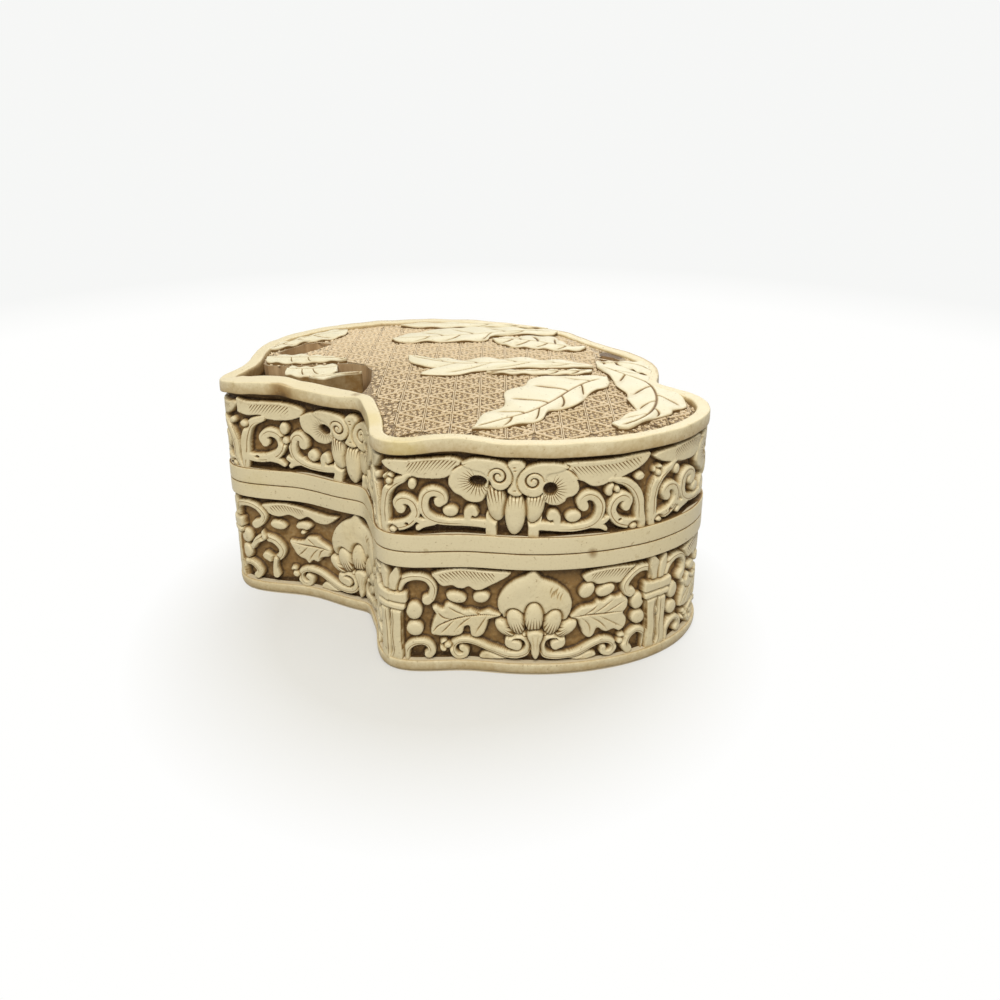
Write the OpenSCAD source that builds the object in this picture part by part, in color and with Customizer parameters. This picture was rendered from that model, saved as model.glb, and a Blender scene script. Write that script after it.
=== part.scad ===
// A carved trinket box whose plan is two overlapping peaches: a tub with a lift-off lid.
// Both are cast and carved all round: a fruit-and-column frieze on the tub, a scroll frieze on the
// lid wall, and leaves lying on a domed lattice field inside a rounded rim on the lid's top.
// Millimetres, +Z up, origin at the middle of the footprint on the underside, front towards -Y.

/* [Front peach] */
// Length of the front peach, without its tip
front_len = 78; // [72:1:84]
// Width of the front peach
front_wid = 50.4; // [46:0.2:54]
// Turn of its long axis, in degrees
front_turn = 2; // [-4:0.5:8]
// How far its tip stands out
front_tip = 7.9; // [4:0.1:9]
// Place of its middle, right of the back peach's middle
front_right = 21.9; // [18:0.1:25]
// Place of its middle, in front of the back peach's middle
front_fore = 33.8; // [30:0.1:37]

/* [Back peach] */
// Length of the back peach, without its tip
back_len = 108.6; // [102:0.2:116]
// Width of the back peach
back_wid = 77.6; // [72:0.2:84]
// Turn of its long axis, in degrees
back_turn = -15.3; // [-20:0.1:-10]
// How far its tip stands out
back_tip = 11.8; // [6:0.1:13]

/* [Heights] */
// Height of the plinth, which is the tub's floor
plinth_h = 3.2; // [2.6:0.1:5]
// Height of the carved frieze on the tub
base_frieze_h = 24.4; // [20:0.2:30]
// Height of the plain band round the tub's mouth
base_band_h = 3.9; // [3:0.1:6]
// Height of the plain band round the lid's mouth
lid_band_h = 4.1; // [3.6:0.1:6]
// Height of the carved frieze on the lid
lid_frieze_h = 18.2; // [15:0.2:24]
// Height of the rounded rim on the lid
rim_h = 3.2; // [2.6:0.1:4]

/* [Walls and fit] */
// How far the foot stands outside the rim's line, because the walls lean in upwards
foot_out = 1.4; // [1:0.1:1.6]
// How far the plain bands at the seam stand outside the rim's line
band_out = 0.5; // [0.3:0.1:0.8]
// Depth that the friezes' ground is sunk below the wall's face
relief = 2.4; // [1.6:0.1:2.8]
// How far the carving's crests stay below the wall's face
crest_sink = 0.2; // [0.1:0.05:0.6]
// How much lower the fruit, leaves and feathers lie than the rest of the carving
back_sink = 0.5; // [0:0.05:0.8]
// Thickness of the walls behind the friezes
wall = 3; // [2.6:0.1:4]
// Height of the lip that locates the lid
lip_h = 3; // [2:0.1:3.2]
// Thickness of that lip
lip_t = 1.8; // [1.2:0.1:2]
// Clearance round the lip
lip_clear = 0.3; // [0.2:0.05:0.5]

/* [Lid top] */
// How far the rim bulges out of the leaning wall
rim_over = 0; // [-0.1:0.1:0.6]
// How far the rim's inner edge lies inside the rim's line
rim_in = 3.4; // [3:0.1:4]
// Thickness of the lid's top below the field
lid_top_t = 6.8; // [5.6:0.1:9]
// Depth that the hollow at the back peach's tip is sunk into the lid's top
hollow_depth = 3.6; // [2:0.1:4]
// Depth of the two small recesses beside the rim
recess_depth = 1.2; // [0.6:0.1:2]
// How far the field's crown stands above the rim
crown_over = 0.4; // [0:0.1:1]
// Fall of the field from its crown to the far ends
dome_fall = 2.2; // [1.6:0.1:2.6]
// Thickness of the leaves that lie on the field
leaf_t = 0.9; // [0.6:0.1:1.4]
// How far the two leaves in the hollow stay below the field's crown
tip_leaf_low = 1; // [0.8:0.1:3]

/* [Hidden] */

IVORY = [0.88, 0.83, 0.69];
CREAM = [0.93, 0.90, 0.79];
TAN = [0.69, 0.58, 0.42];

// Heights of the levels above the table
base_frieze_z = plinth_h;
base_band_z = base_frieze_z + base_frieze_h;
seam_z = base_band_z + base_band_h;
lid_frieze_z = seam_z + lid_band_h;
rim_z = lid_frieze_z + lid_frieze_h;
crown_z = rim_z + rim_h + crown_over;
lid_roof_z = rim_z - lid_top_t;
hollow_z = rim_z - hollow_depth;
// Depth of the inside faces below the rim's line
inside = relief + wall;
// The wall leans: how far its face stands outside the rim's line at a height
function face_at(z) = foot_out - (foot_out - band_out) * z / seam_z;
tub_face = face_at(base_frieze_z + base_frieze_h / 2);
lid_face = face_at(lid_frieze_z + lid_frieze_h / 2);
rim_face = face_at(rim_z + rim_h / 2) + rim_over;
// Spare length by which cutting shapes run past what they cut
past = 1;

// Plan outline.
// A peach is [middle, half length, half width, turn, tip direction, tip, tip spread,
//             cleft direction, cleft, cleft spread], with directions and spreads in degrees.
back_mid = [-2.2, 10.3];
front_mid = back_mid + [front_right, -front_fore];
front = [front_mid, front_len / 2, front_wid / 2, front_turn, 212.6, front_tip, 13.4, 25, 3.3, 15];
back = [back_mid, back_len / 2, back_wid / 2, back_turn, 199, back_tip, 10.5, 18.6, 4.6, 16.6];

function wrap(t) = (t + 900) % 360 - 180;
function bump(t, spread) = exp(-pow(wrap(t) / spread, 2));
function peach_r(p, t) =
    1 / sqrt(pow(cos(t - p[3]) / p[1], 2) + pow(sin(t - p[3]) / p[2], 2))
    + p[5] * bump(t - p[4], p[6]) - p[8] * bump(t - p[7], p[9]);
function peach_at(p, t) = p[0] + peach_r(p, t) * [cos(t), sin(t)];
function bearing(v) = atan2(v.y, v.x);
function is_in(p, q) = norm(q - p[0]) < peach_r(p, bearing(q - p[0]));
// The run of peach p that lies outside peach o, counterclockwise
function free_run(p, o, step = 2) =
    let (t0 = bearing(o[0] - p[0]))
    [for (t = [t0 : step : t0 + 360 - step]) let (q = peach_at(p, t)) if (!is_in(o, q)) q];

function lengths(pts) =
    [for (i = 0, d = 0; i <= len(pts);
          d = d + norm(pts[(i + 1) % len(pts)] - pts[i % len(pts)]), i = i + 1) d];
function column_of(pts, d, k) = [for (i = [0 : len(pts)]) [d[i], pts[i % len(pts)][k]]];
function total(v) = v * [for (x = v) 1];
function cycle(s, whole) = s - whole * floor(s / whole);

joined = concat(free_run(front, back), free_run(back, front));
joined_d = lengths(joined);
joined_len = joined_d[len(joined)];
joined_x = column_of(joined, joined_d, 0);
joined_y = column_of(joined, joined_d, 1);
// The two notches are softened by averaging the outline over a short reach
soft_reach = 2;
soft_taps = [for (k = [-2.4 : 0.6 : 2.4]) k * soft_reach];
soft_weights = [for (k = soft_taps) exp(-pow(k / soft_reach, 2) / 2)];
function soft_at(s) =
    let (at = [for (k = soft_taps) cycle(s + k, joined_len)])
    [soft_weights * [for (q = at) lookup(q, joined_x)],
     soft_weights * [for (q = at) lookup(q, joined_y)]] / total(soft_weights);
softened = [for (i = [0 : 299]) soft_at(i * joined_len / 300)];

xs = [for (p = softened) p.x];
ys = [for (p = softened) p.y];
plan_mid = [min(xs) + max(xs), min(ys) + max(ys)] / 2;
rim_line = [for (p = softened) p - plan_mid];
rim_d = lengths(rim_line);
girth = rim_d[len(rim_line)];
rim_x = column_of(rim_line, rim_d, 0);
rim_y = column_of(rim_line, rim_d, 1);
// Lengths round the wall start at the column on the front peach's tip
start_pt = peach_at(front, 216) - plan_mid;
near = [for (p = rim_line) norm(p - start_pt)];
start_d = rim_d[[for (i = [0 : len(near) - 1]) if (near[i] == min(near)) i][0]];
function wall_at(s) =
    let (q = cycle(s + start_d, girth)) [lookup(q, rim_x), lookup(q, rim_y)];
function unit(v) = v / norm(v);
function wall_along(s) = unit(wall_at(s + 0.9) - wall_at(s - 0.9));
function wall_out(s) = let (a = wall_along(s)) [a.y, -a.x];

facets = 156;
rim_pts = [for (i = [0 : facets - 1]) wall_at(i * girth / facets)];
rim_out = [for (i = [0 : facets - 1]) wall_out(i * girth / facets)];
// The outline moved outwards by d
function outline(d) = [for (i = [0 : facets - 1]) rim_pts[i] + d * rim_out[i]];

module slab(d, z0, z1) translate([0, 0, z0]) linear_extrude(z1 - z0) polygon(outline(d));
// The deep inner outlines are mitred, because the tips are narrower than the walls are thick
module inner_slab(d, z0, z1)
    translate([0, 0, z0]) linear_extrude(z1 - z0) offset(delta = -d) polygon(outline(0));
// The layer that the carving fills, from the friezes' ground to its crests
module carving_layer(z0, z1, face, low) difference() {
    slab(face - crest_sink - low, z0, z1);
    slab(face - relief, z0 - past, z1 + past);
}

// Flat outlines of the carving, drawn on a half panel that starts at a column and ends at the
// panel's middle: x runs along the wall and y up from the frieze's foot.
function spin(v, a) = [v.x * cos(a) - v.y * sin(a), v.x * sin(a) + v.y * cos(a)];
function oval(c, rx, ry, turn = 0, n = 16) =
    [for (i = [0 : n - 1]) c + spin([rx * cos(i * 360 / n), ry * sin(i * 360 / n)], turn)];
// A ribbon along the points of a path, w wide at its start and w_end at its end
function ribbon(path, w, w_end) =
    let (n = len(path) - 1,
         side = [for (i = [0 : n])
                 let (a = unit(path[min(i + 1, n)] - path[max(i - 1, 0)]),
                      h = (w + (w_end - w) * i / n) / 2)
                 [-a.y, a.x] * h])
    concat([for (i = [0 : n]) path[i] + side[i]], [for (i = [n : -1 : 0]) path[i] - side[i]]);
// A volute round c, from radius r0 at angle a0 to radius r1 at angle a1
function volute(c, r0, a0, r1, a1, n = 12) =
    [for (i = [0 : n]) let (f = i / n, a = a0 + (a1 - a0) * f)
     c + (r0 + (r1 - r0) * f) * [cos(a), sin(a)]];
function swing(a, b, c, d, n = 6) =
    [for (i = [0 : n]) let (f = i / n, g = 1 - f)
     g * g * g * a + 3 * g * g * f * b + 3 * g * f * f * c + f * f * f * d];

// The tub's frieze, drawn 31.7 long and 24.4 high
base_drawn = [31.7, 24.4];
base_mid_x = base_drawn.x;
// Two posts with a slot between them, a collar of two steps, and three sprouts on top
column_part = [
    [-2.9, 0], [-0.2, 0], [-0.2, 14.4], [0.2, 14.4], [0.2, 0], [2.9, 0], [2.9, 14.8],
    [3.6, 14.8], [3.6, 16.4], [4.2, 16.6], [4.2, 18.2],
    [2.2, 18.4], [3.2, 22.8], [2.4, 23.8], [1.2, 23], [1, 18.8],
    [0.5, 18.8], [0.4, 23.4], [-0.4, 23.4], [-0.5, 18.8],
    [-1, 18.8], [-1.2, 23], [-2.4, 23.8], [-3.2, 22.8], [-2.2, 18.4],
    [-4.2, 18.2], [-4.2, 16.6], [-3.6, 16.4], [-3.6, 14.8], [-2.9, 14.8]];
lotus_parts = [
    oval([base_mid_x, 12], 2.2, 3.9),
    oval([base_mid_x, 4.9], 1.7, 3.5)];
lotus_half_parts = [
    oval([base_mid_x - 3.9, 11], 2.2, 3.2, 16),
    oval([base_mid_x - 6.3, 8.8], 2.7, 1.8, -38)];
fruit = [[base_mid_x, 16.4], 8.3, 5.8, 0, 90, 1.8, 14, -90, 0.6, 20];
fruit_part = [for (t = [0 : 12 : 348]) peach_at(fruit, t)];
leaf_part = [
    [23.6, 12.4], [21.3, 13.6], [17.8, 13.4], [14.8, 14], [12.3, 15.1], [11.1, 13.9], [9.1, 13],
    [9.6, 10.3], [8.7, 7.4], [10.8, 6.2], [13.8, 6.4], [15.9, 7.4], [16.5, 8.8], [17.1, 7.3],
    [17.6, 5.8], [19.8, 6.3], [21.5, 8.8], [22.1, 10.8]];
base_scroll_parts = [
    ribbon(volute([6.9, 19], 4.3, 175, 2, -150), 1.5, 1.7),
    ribbon(volute([6, 1.9], 3.4, 205, 2.6, -45, 8), 1.5, 1.5),
    ribbon(concat(volute([28, 5.4], 1.4, 250, 2.6, -20),
                  swing([29.4, 2.8], [27, 0.6], [21, 1.4], [17.8, 4.8])), 1.1, 1.8),
    ribbon(volute([15.6, 2.9], 2.5, 50, 1.5, 330), 1.6, 1.2)];
base_feather_parts = [
    [[11.4, 22.9], [16, 23.8], [22, 23.6], [26.4, 23.3], [24, 21.3], [20.5, 19.7], [18, 18.8],
     [15.5, 19.4], [12.8, 19.4], [11.6, 20.6]],
    oval([14.6, 17.1], 2.3, 1.7),
    oval([19.8, 17], 2, 1.3)];
base_bead_parts = [oval([5.1, 12.6], 1.8, 2), oval([5.1, 8.3], 1.8, 1.7)];

// The lid's frieze, drawn 30 long and 18.2 high
lid_drawn = [30, 18.2];
lid_mid_x = lid_drawn.x;
lid_lotus_parts = [
    oval([lid_mid_x, 5.2], 2.2, 4.7),
    [[28.3, 17.4], [28.8, 15.4], [28.9, 10.6], [31.1, 10.6], [31.2, 15.4], [31.7, 17.4]]];
lid_lotus_half_parts = [
    oval([25.9, 6.9], 1.9, 3.7, 6),
    [[24.4, 0], [26.4, 0], [26.2, 3.6], [24.6, 3.6]]];
shell_ring = ribbon(volute([21.3, 12.1], 3.3, -20, 3.5, -300), 2.6, 3.2);
shell_parts = [
    shell_ring,
    oval([26, 12.9], 2.4, 2.4),
    ribbon(swing([19.6, 15.8], [23, 17.6], [27, 17.6], [27.9, 14]), 1.6, 1.4)];
lid_scroll_parts = [
    ribbon(concat(swing([7.6, 13.2], [1.6, 12], [1.2, 5], [2.9, 2.4]),
                  volute([6.1, 4.9], 3.7, 235, 1.8, 560)), 1.7, 1.6),
    ribbon(concat(swing([24.2, 2.7], [18, 1.5], [11.5, 1.4], [10.6, 5.8]),
                  volute([13, 6.9], 2.6, 195, 1.8, -20, 8)), 1.8, 1.5),
    [[0.9, 0.9], [3, 1], [4, 2], [2.4, 3]]];
lid_feather_parts = [
    [[1, 16.4], [4, 17.4], [10, 17.6], [15.5, 17.2], [17.2, 16.6], [15.6, 14.4], [14, 13.1],
     [11, 12.8], [7, 14.1], [4, 14.4]]];
lid_bead_parts = [
    oval([16.9, 5], 2.2, 1.3), oval([20.2, 5], 1.5, 1.6), oval([8.2, 11.6], 1, 1.4),
    oval([2.2, 12.6], 1.2, 1.4)];

// Panels, as the lengths round the wall of their two ends and, for the tub, of their fruit
base_front_panel = [-1.3, 30.4, 60.3];
base_left_panel = [-67.3, -30, -1.3] + girth * [1, 1, 1];
lid_front_panel = [-4, 26.1, 56];
lid_left_panel = [-60.5, -29, -4] + girth * [1, 1, 1];
plain_panels = 4;
function panels(first, last) =
    let (run = (last[0] - first[2]) / plain_panels)
    concat([first],
           [for (i = [0 : plain_panels - 1]) [for (f = [0, 0.5, 1]) first[2] + run * (i + f)]],
           [last]);
base_panels = panels(base_front_panel, base_left_panel);
lid_panels = panels(lid_front_panel, lid_left_panel);

function middle(pts) = total_pts(pts) / len(pts);
function total_pts(pts) = [for (k = [0, 1]) total([for (p = pts) p[k]])];
// Stands a flat outline on the wall: end is the half panel's column, run its signed length
module on_wall(pts, end, run, drawn, foot, high) {
    k = [run / drawn.x, high / drawn.y];
    m = middle(pts);
    s = end + m.x * k.x;
    p = wall_at(s) - relief * 1.6 * wall_out(s);
    a = wall_along(s);
    o = wall_out(s);
    multmatrix([[a.x, 0, o.x, p.x], [a.y, 0, o.y, p.y], [0, 1, 0, foot], [0, 0, 0, 1]])
        linear_extrude(relief * 2.4)
            polygon([for (q = pts) [(q.x - m.x) * k.x, q.y * k.y]]);
}
module on_tub(shapes, both = true) for (panel = base_panels, pts = shapes) {
    on_wall(pts, panel[0], panel[1] - panel[0], base_drawn, base_frieze_z, base_frieze_h);
    if (both) on_wall(pts, panel[2], panel[1] - panel[2], base_drawn, base_frieze_z, base_frieze_h);
}
module on_lid(shapes, both = true) for (panel = lid_panels, pts = shapes) {
    on_wall(pts, panel[0], panel[1] - panel[0], lid_drawn, lid_frieze_z, lid_frieze_h);
    if (both) on_wall(pts, panel[2], panel[1] - panel[2], lid_drawn, lid_frieze_z, lid_frieze_h);
}
module tub_layer(low = 0) carving_layer(base_frieze_z, base_band_z, tub_face, low);
module lid_layer(low = 0) carving_layer(lid_frieze_z, rim_z, lid_face, low);
module column_cut() on_tub([column_part], both = false);
module lotus_cut() {
    on_tub(lotus_parts, both = false);
    on_tub(lotus_half_parts);
}
module lid_lotus_cut() {
    on_lid(lid_lotus_parts, both = false);
    on_lid(lid_lotus_half_parts);
}

// Lid top: the field is turned about the crown and falls off as a parabola, and leaves of even
// height lie on it
dome_margin = 1.1;
dome_reach = dome_margin * (max(xs) - min(xs)) / 2;
dome_depth = crown_z - rim_z + past;
dome_steps = 7;
dome_line = [for (i = [0 : dome_steps]) let (f = i / dome_steps)
             [f * dome_reach, -dome_fall * f * f]];
module dome(lift = 0) translate([0, 0, crown_z + lift])
    rotate_extrude($fn = 180)
        polygon(concat([[0, -dome_depth], [dome_reach, -dome_depth]],
                       [for (i = [dome_steps : -1 : 0]) dome_line[i]]));

// Leaf outlines in plan, from their stems round to their stems
front_leaf = [
    [34, -6], [30, -6.2], [25, -6], [18, -8.5], [16, -14], [11.5, -18], [11, -27], [7, -31.5],
    [4.5, -40.5], [12, -38.5], [19, -35], [21.5, -30], [28, -25.5], [31.5, -18], [36, -13],
    [37.2, -9]];
right_leaf = [
    [35, 1], [34.4, -2], [37.6, -8], [38.4, -14], [40.4, -19], [39.5, -27], [40, -31], [35, -35],
    [34.5, -40], [39, -38.5], [44, -34], [50, -29.5], [52.6, -25], [52, -18], [48.6, -12],
    [44, -7], [41, -3], [39, 0.5]];
left_leaf = [
    [34, 1.4], [31, 4.5], [20, 7.5], [8, 7.5], [0, 6], [-8, 8], [-14, 8.5], [-12.5, 4], [-9, 0.5],
    [-4.5, -1], [-9.5, -5], [-5, -6.5], [0, -6], [5, -3.5], [14, -0.5], [24, 0.6], [34, 0.6]];
slim_leaf = [
    [7, -4.6], [14, -2.8], [24, -1.6], [33.6, -1], [33, -3.6], [26, -4.8], [15, -5.4]];
back_leaf = [
    [8, 25], [10, 22.6], [14, 19], [20, 18], [25, 16.5], [30, 16], [33, 17], [34.5, 19],
    [31, 19.5], [29, 22], [27, 27], [25, 30.5], [18, 31], [12, 28.6]];
long_leaf = [
    [-20, 26], [-17, 23.5], [-8, 24], [0, 24], [6.4, 25.6], [8, 29], [14, 32.2], [24, 32],
    [27.4, 34], [24, 37], [10, 38], [0, 36], [-10, 31.5]];
far_leaf = [
    [-19, 42], [-10, 40.4], [0, 40.4], [10, 40.6], [20, 39.4], [24.6, 37.8], [22, 39.6], [13, 43],
    [4, 45], [-8, 45.6], [-16, 45]];
stem = [[39.6, 1.2], [42, 0.4], [46, 3.4], [45.6, 8.4], [40, 6.4], [34.6, 4.4], [34.8, 2]];
edge_leaf = [
    [-51.4, 13.4], [-50, 8], [-44, 6.4], [-36, 6.4], [-29, 7], [-34, 10], [-40, 13.2], [-46, 13.4]];
rim_leaf = [
    [-51, 28], [-44, 30], [-37, 30.4], [-32.6, 34], [-32.8, 39.6], [-38, 39.6], [-44, 36], [-49, 32]];
leaf_parts = [front_leaf, right_leaf, left_leaf, slim_leaf, back_leaf, long_leaf, far_leaf, stem,
              edge_leaf, rim_leaf];
// The hollow at the back peach's tip, the two leaves that stand in it, and two small recesses
hollow_part = [
    [-21, -40], [-21, -8], [-22, 0], [-24, 4], [-28, 6], [-36, 5.8], [-44, 5.8], [-50, 7], [-54, 12.5],
    [-80, 14], [-80, -40]];
recess_parts = [
    [[-50, 19], [-46, 14.6], [-44, 16], [-40, 20], [-36, 27], [-39, 28.2], [-44, 27.4], [-48, 22.4]],
    [[37, 7.6], [40.6, 8.2], [42, 10.6], [40.6, 13], [37.6, 14.4], [36.6, 12]]];
tip_leaf_parts = [
    [[-43.6, 3.6], [-38, 4.4], [-31.4, 5], [-30.6, -1.6], [-33, -3.4], [-38, -4.6], [-43, -3.4]],
    [[-37, -5.6], [-33, -4.4], [-30, -2.6], [-27, -2], [-24, -1.4], [-24.4, -3], [-27.6, -3.6],
     [-30.4, -5.2], [-33, -7.4]]];

module in_plan(pts, z0, z1)
    translate([-plan_mid.x, -plan_mid.y, z0]) linear_extrude(z1 - z0) polygon(pts);
// The hollow and the recesses, sunk to their depths below the rim's foot
module hollows(deep, shallow) {
    in_plan(hollow_part, rim_z - deep, crown_z + past);
    for (pts = recess_parts) in_plan(pts, rim_z - shallow, crown_z + past);
}

// Sub-parts of the tub

module base_plinth() color(IVORY) slab(foot_out, 0, plinth_h);

module base_wall() color(IVORY) difference() {
    union() {
        slab(tub_face - relief, base_frieze_z, base_band_z);
        slab(band_out, base_band_z, seam_z);
        inner_slab(inside - lip_t, seam_z, seam_z + lip_h);
    }
    inner_slab(inside, base_frieze_z - past, seam_z + lip_h + past);
}

module base_columns() color(CREAM) intersection() {
    tub_layer();
    column_cut();
}

module base_lotus() color(CREAM) intersection() {
    tub_layer();
    lotus_cut();
}

module base_peaches() color(CREAM) difference() {
    intersection() {
        tub_layer(back_sink);
        on_tub([fruit_part], both = false);
    }
    lotus_cut();
}

module base_leaves() color(CREAM) difference() {
    intersection() {
        tub_layer(back_sink);
        on_tub([leaf_part]);
    }
    on_tub([fruit_part], both = false);
    lotus_cut();
}

module base_scrolls() color(CREAM) difference() {
    intersection() {
        tub_layer();
        on_tub(base_scroll_parts);
    }
    column_cut();
    lotus_cut();
}

module base_feathers() color(CREAM) difference() {
    intersection() {
        tub_layer(back_sink);
        on_tub(base_feather_parts);
    }
    on_tub(base_scroll_parts);
    on_tub([fruit_part], both = false);
}

module base_beads() color(CREAM) difference() {
    intersection() {
        tub_layer();
        on_tub(base_bead_parts);
    }
    column_cut();
}

// Sub-parts of the lid

module lid_shell() color(IVORY) difference() {
    union() {
        slab(band_out, seam_z, lid_frieze_z);
        slab(lid_face - relief, lid_frieze_z, rim_z);
    }
    inner_slab(inside, seam_z - past, lid_roof_z);
    inner_slab(inside - lip_t - lip_clear, seam_z - past, seam_z + lip_h + lip_clear);
    intersection() {
        hollows(hollow_depth, recess_depth);
        slab(-rim_in, hollow_z, crown_z + past);
    }
}

// The rim is a bead swept round the outline: flat below and inside, round on top and outside
rim_steps = 7;
rim_low = 0.42;
rim_w = rim_face + rim_in;
rim_section = concat(
    [[-rim_in, 0], [lid_face - relief, 0]],
    [for (i = [0 : rim_steps])
     let (a = 180 * i / rim_steps - 60 * (1 - i / rim_steps))
     [(rim_face - rim_in) / 2 + cos(a) * rim_w / 2,
      rim_h * (rim_low + (sin(a) < 0 ? rim_low : 1 - rim_low) * sin(a))]]);
module lid_rim() color(IVORY) translate([0, 0, rim_z]) {
    n = len(rim_section);
    rings = [for (i = [0 : facets - 1], q = rim_section)
             let (p = rim_pts[i] + q[0] * rim_out[i]) [p.x, p.y, q[1]]];
    faces = [for (i = [0 : facets - 1], j = [0 : n - 1])
             let (i2 = (i + 1) % facets, j2 = (j + 1) % n)
             [i * n + j, i * n + j2, i2 * n + j2, i2 * n + j]];
    polyhedron(rings, faces);
}

module lid_field() color(TAN) difference() {
    intersection() {
        slab(-rim_in, rim_z, crown_z + past);
        dome();
    }
    hollows(past, past);
}

module top_leaves() color(CREAM) difference() {
    intersection() {
        union() for (pts = leaf_parts) in_plan(pts, rim_z, crown_z + 2 * leaf_t);
        slab(-rim_in, rim_z, crown_z + 2 * leaf_t);
        dome(leaf_t);
    }
    dome();
}

module tip_leaves() color(CREAM)
    for (pts = tip_leaf_parts) in_plan(pts, hollow_z, crown_z - tip_leaf_low);

module lid_lotus() color(CREAM) intersection() {
    lid_layer();
    lid_lotus_cut();
}

module lid_shells() color(CREAM) difference() {
    intersection() {
        lid_layer();
        on_lid(shell_parts);
    }
    lid_lotus_cut();
}

module lid_scrolls() color(CREAM) difference() {
    intersection() {
        lid_layer();
        on_lid(lid_scroll_parts);
    }
    lid_lotus_cut();
}

module lid_feathers() color(CREAM) difference() {
    intersection() {
        lid_layer(back_sink);
        on_lid(lid_feather_parts);
    }
    on_lid(lid_scroll_parts);
    on_lid(shell_parts);
}

module lid_beads() color(CREAM) difference() {
    intersection() {
        lid_layer();
        on_lid(lid_bead_parts);
    }
    on_lid(lid_scroll_parts);
    on_lid(lid_feather_parts);
}

base_plinth();
base_wall();
base_columns();
base_lotus();
base_peaches();
base_leaves();
base_scrolls();
base_feathers();
base_beads();
lid_shell();
lid_rim();
lid_field();
top_leaves();
tip_leaves();
lid_lotus();
lid_shells();
lid_scrolls();
lid_feathers();
lid_beads();
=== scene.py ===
# %% [markdown]
# # A carved trinket box
# The box is two resin castings, a tub and a lift-off lid, with the outline of two overlapping
# peaches. The CAD frame already has every part at its real size. This lesson gives the parts
# their looks: rounded bands, deep carved friezes, a latticed lid with leaves, and an old ivory
# finish with brown patina in the recesses.

# %% Load the frame
import math

import bmesh
import bpy
import numpy as np
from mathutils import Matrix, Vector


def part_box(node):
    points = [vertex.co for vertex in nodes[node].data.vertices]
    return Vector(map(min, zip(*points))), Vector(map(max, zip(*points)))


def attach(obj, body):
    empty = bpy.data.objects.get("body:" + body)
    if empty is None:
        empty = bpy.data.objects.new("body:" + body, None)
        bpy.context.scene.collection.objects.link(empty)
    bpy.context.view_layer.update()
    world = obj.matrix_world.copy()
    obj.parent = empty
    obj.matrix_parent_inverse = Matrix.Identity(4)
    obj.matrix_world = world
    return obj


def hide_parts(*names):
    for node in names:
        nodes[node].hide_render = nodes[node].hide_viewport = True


MM = 0.001
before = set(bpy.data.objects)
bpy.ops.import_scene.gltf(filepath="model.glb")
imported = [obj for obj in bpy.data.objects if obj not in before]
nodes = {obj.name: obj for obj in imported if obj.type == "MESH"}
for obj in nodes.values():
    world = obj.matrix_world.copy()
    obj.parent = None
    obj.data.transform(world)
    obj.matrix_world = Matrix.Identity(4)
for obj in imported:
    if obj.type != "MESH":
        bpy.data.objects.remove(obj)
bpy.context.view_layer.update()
scene = bpy.context.scene


def add_object(name, data):
    """A new object at the origin, in the scene."""
    made = bpy.data.objects.new(name, data)
    scene.collection.objects.link(made)
    return made


# %% [markdown]
# ## Camera
# The photograph was taken from in front and above with a phone-like wide lens. The place and the
# tilt come from fitting the outline of the rim, the seam and the foot, so they are typed here
# as plain numbers. A fixed rotation is easier to check than a tracking constraint.

# %% Set the camera
CAMERA_AT = (10.64, -217.1, 126.7)
CAMERA_TILT = 63.88
CAMERA_LENS = 32.04
CAMERA_SENSOR = 36.0
CAMERA_NEAR = 0.005
camera_data = bpy.data.cameras.new("camera")
camera_data.lens = CAMERA_LENS
camera_data.sensor_width = CAMERA_SENSOR
camera_data.clip_start = CAMERA_NEAR
camera = add_object("camera", camera_data)
camera.location = [c * MM for c in CAMERA_AT]
camera.rotation_euler = (math.radians(CAMERA_TILT), 0, 0)
scene.camera = camera
print("camera", CAMERA_AT, "tilt", CAMERA_TILT, "lens", CAMERA_LENS)

# %% [markdown]
# ## Node sums
# A node tree is easier to read as a sum than as a web of links. One small class wraps a socket, and
# its operators add Math nodes. A second class owns a tree, and one method adds any other node
# from its settings and the values of its sockets. A finish is a tree that paints a material.

# %% Wrap sockets and trees
class Value:
    """A socket that takes part in Python sums."""

    def __init__(self, tree, socket):
        self.tree = tree
        self.socket = socket

    def sum(self, operation, first, second):
        return self.tree.node("ShaderNodeMath", {"operation": operation}, {0: first, 1: second})

    def __add__(self, other):
        return self.sum("ADD", self, other)

    def __sub__(self, other):
        return self.sum("SUBTRACT", self, other)

    def __rsub__(self, other):
        return self.sum("SUBTRACT", other, self)

    def __mul__(self, other):
        return self.sum("MULTIPLY", self, other)

    def __truediv__(self, other):
        return self.sum("DIVIDE", self, other)

    def __rtruediv__(self, other):
        return self.sum("DIVIDE", other, self)

    __radd__ = __add__
    __rmul__ = __mul__

    def over(self, other):
        """The larger of the two."""
        return self.sum("MAXIMUM", self, other)

    def waves(self, length):
        """0 to 1 and back over every such length."""
        return self.sum("PINGPONG", self, length / 2) / (length / 2)

    def clip(self):
        return self.tree.node("ShaderNodeClamp", {}, {"Value": self})

    def past(self, level, gain):
        """0 up to a level, then rising to 1 with this gain."""
        return ((self - level) * gain).clip()

    def ramp(self, low, high):
        """0 up to low, 1 from high on, and even between."""
        return ((self - low) / (high - low)).clip()

    def other(self, output):
        """Another output of the same node."""
        return Value(self.tree, self.socket.node.outputs[output])


def set_stops(ramp, stops):
    while len(ramp.elements) < len(stops):
        ramp.elements.new(1.0)
    for element, (place, colour) in zip(ramp.elements, stops):
        element.position = place
        element.color = (*colour, 1.0)


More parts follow.
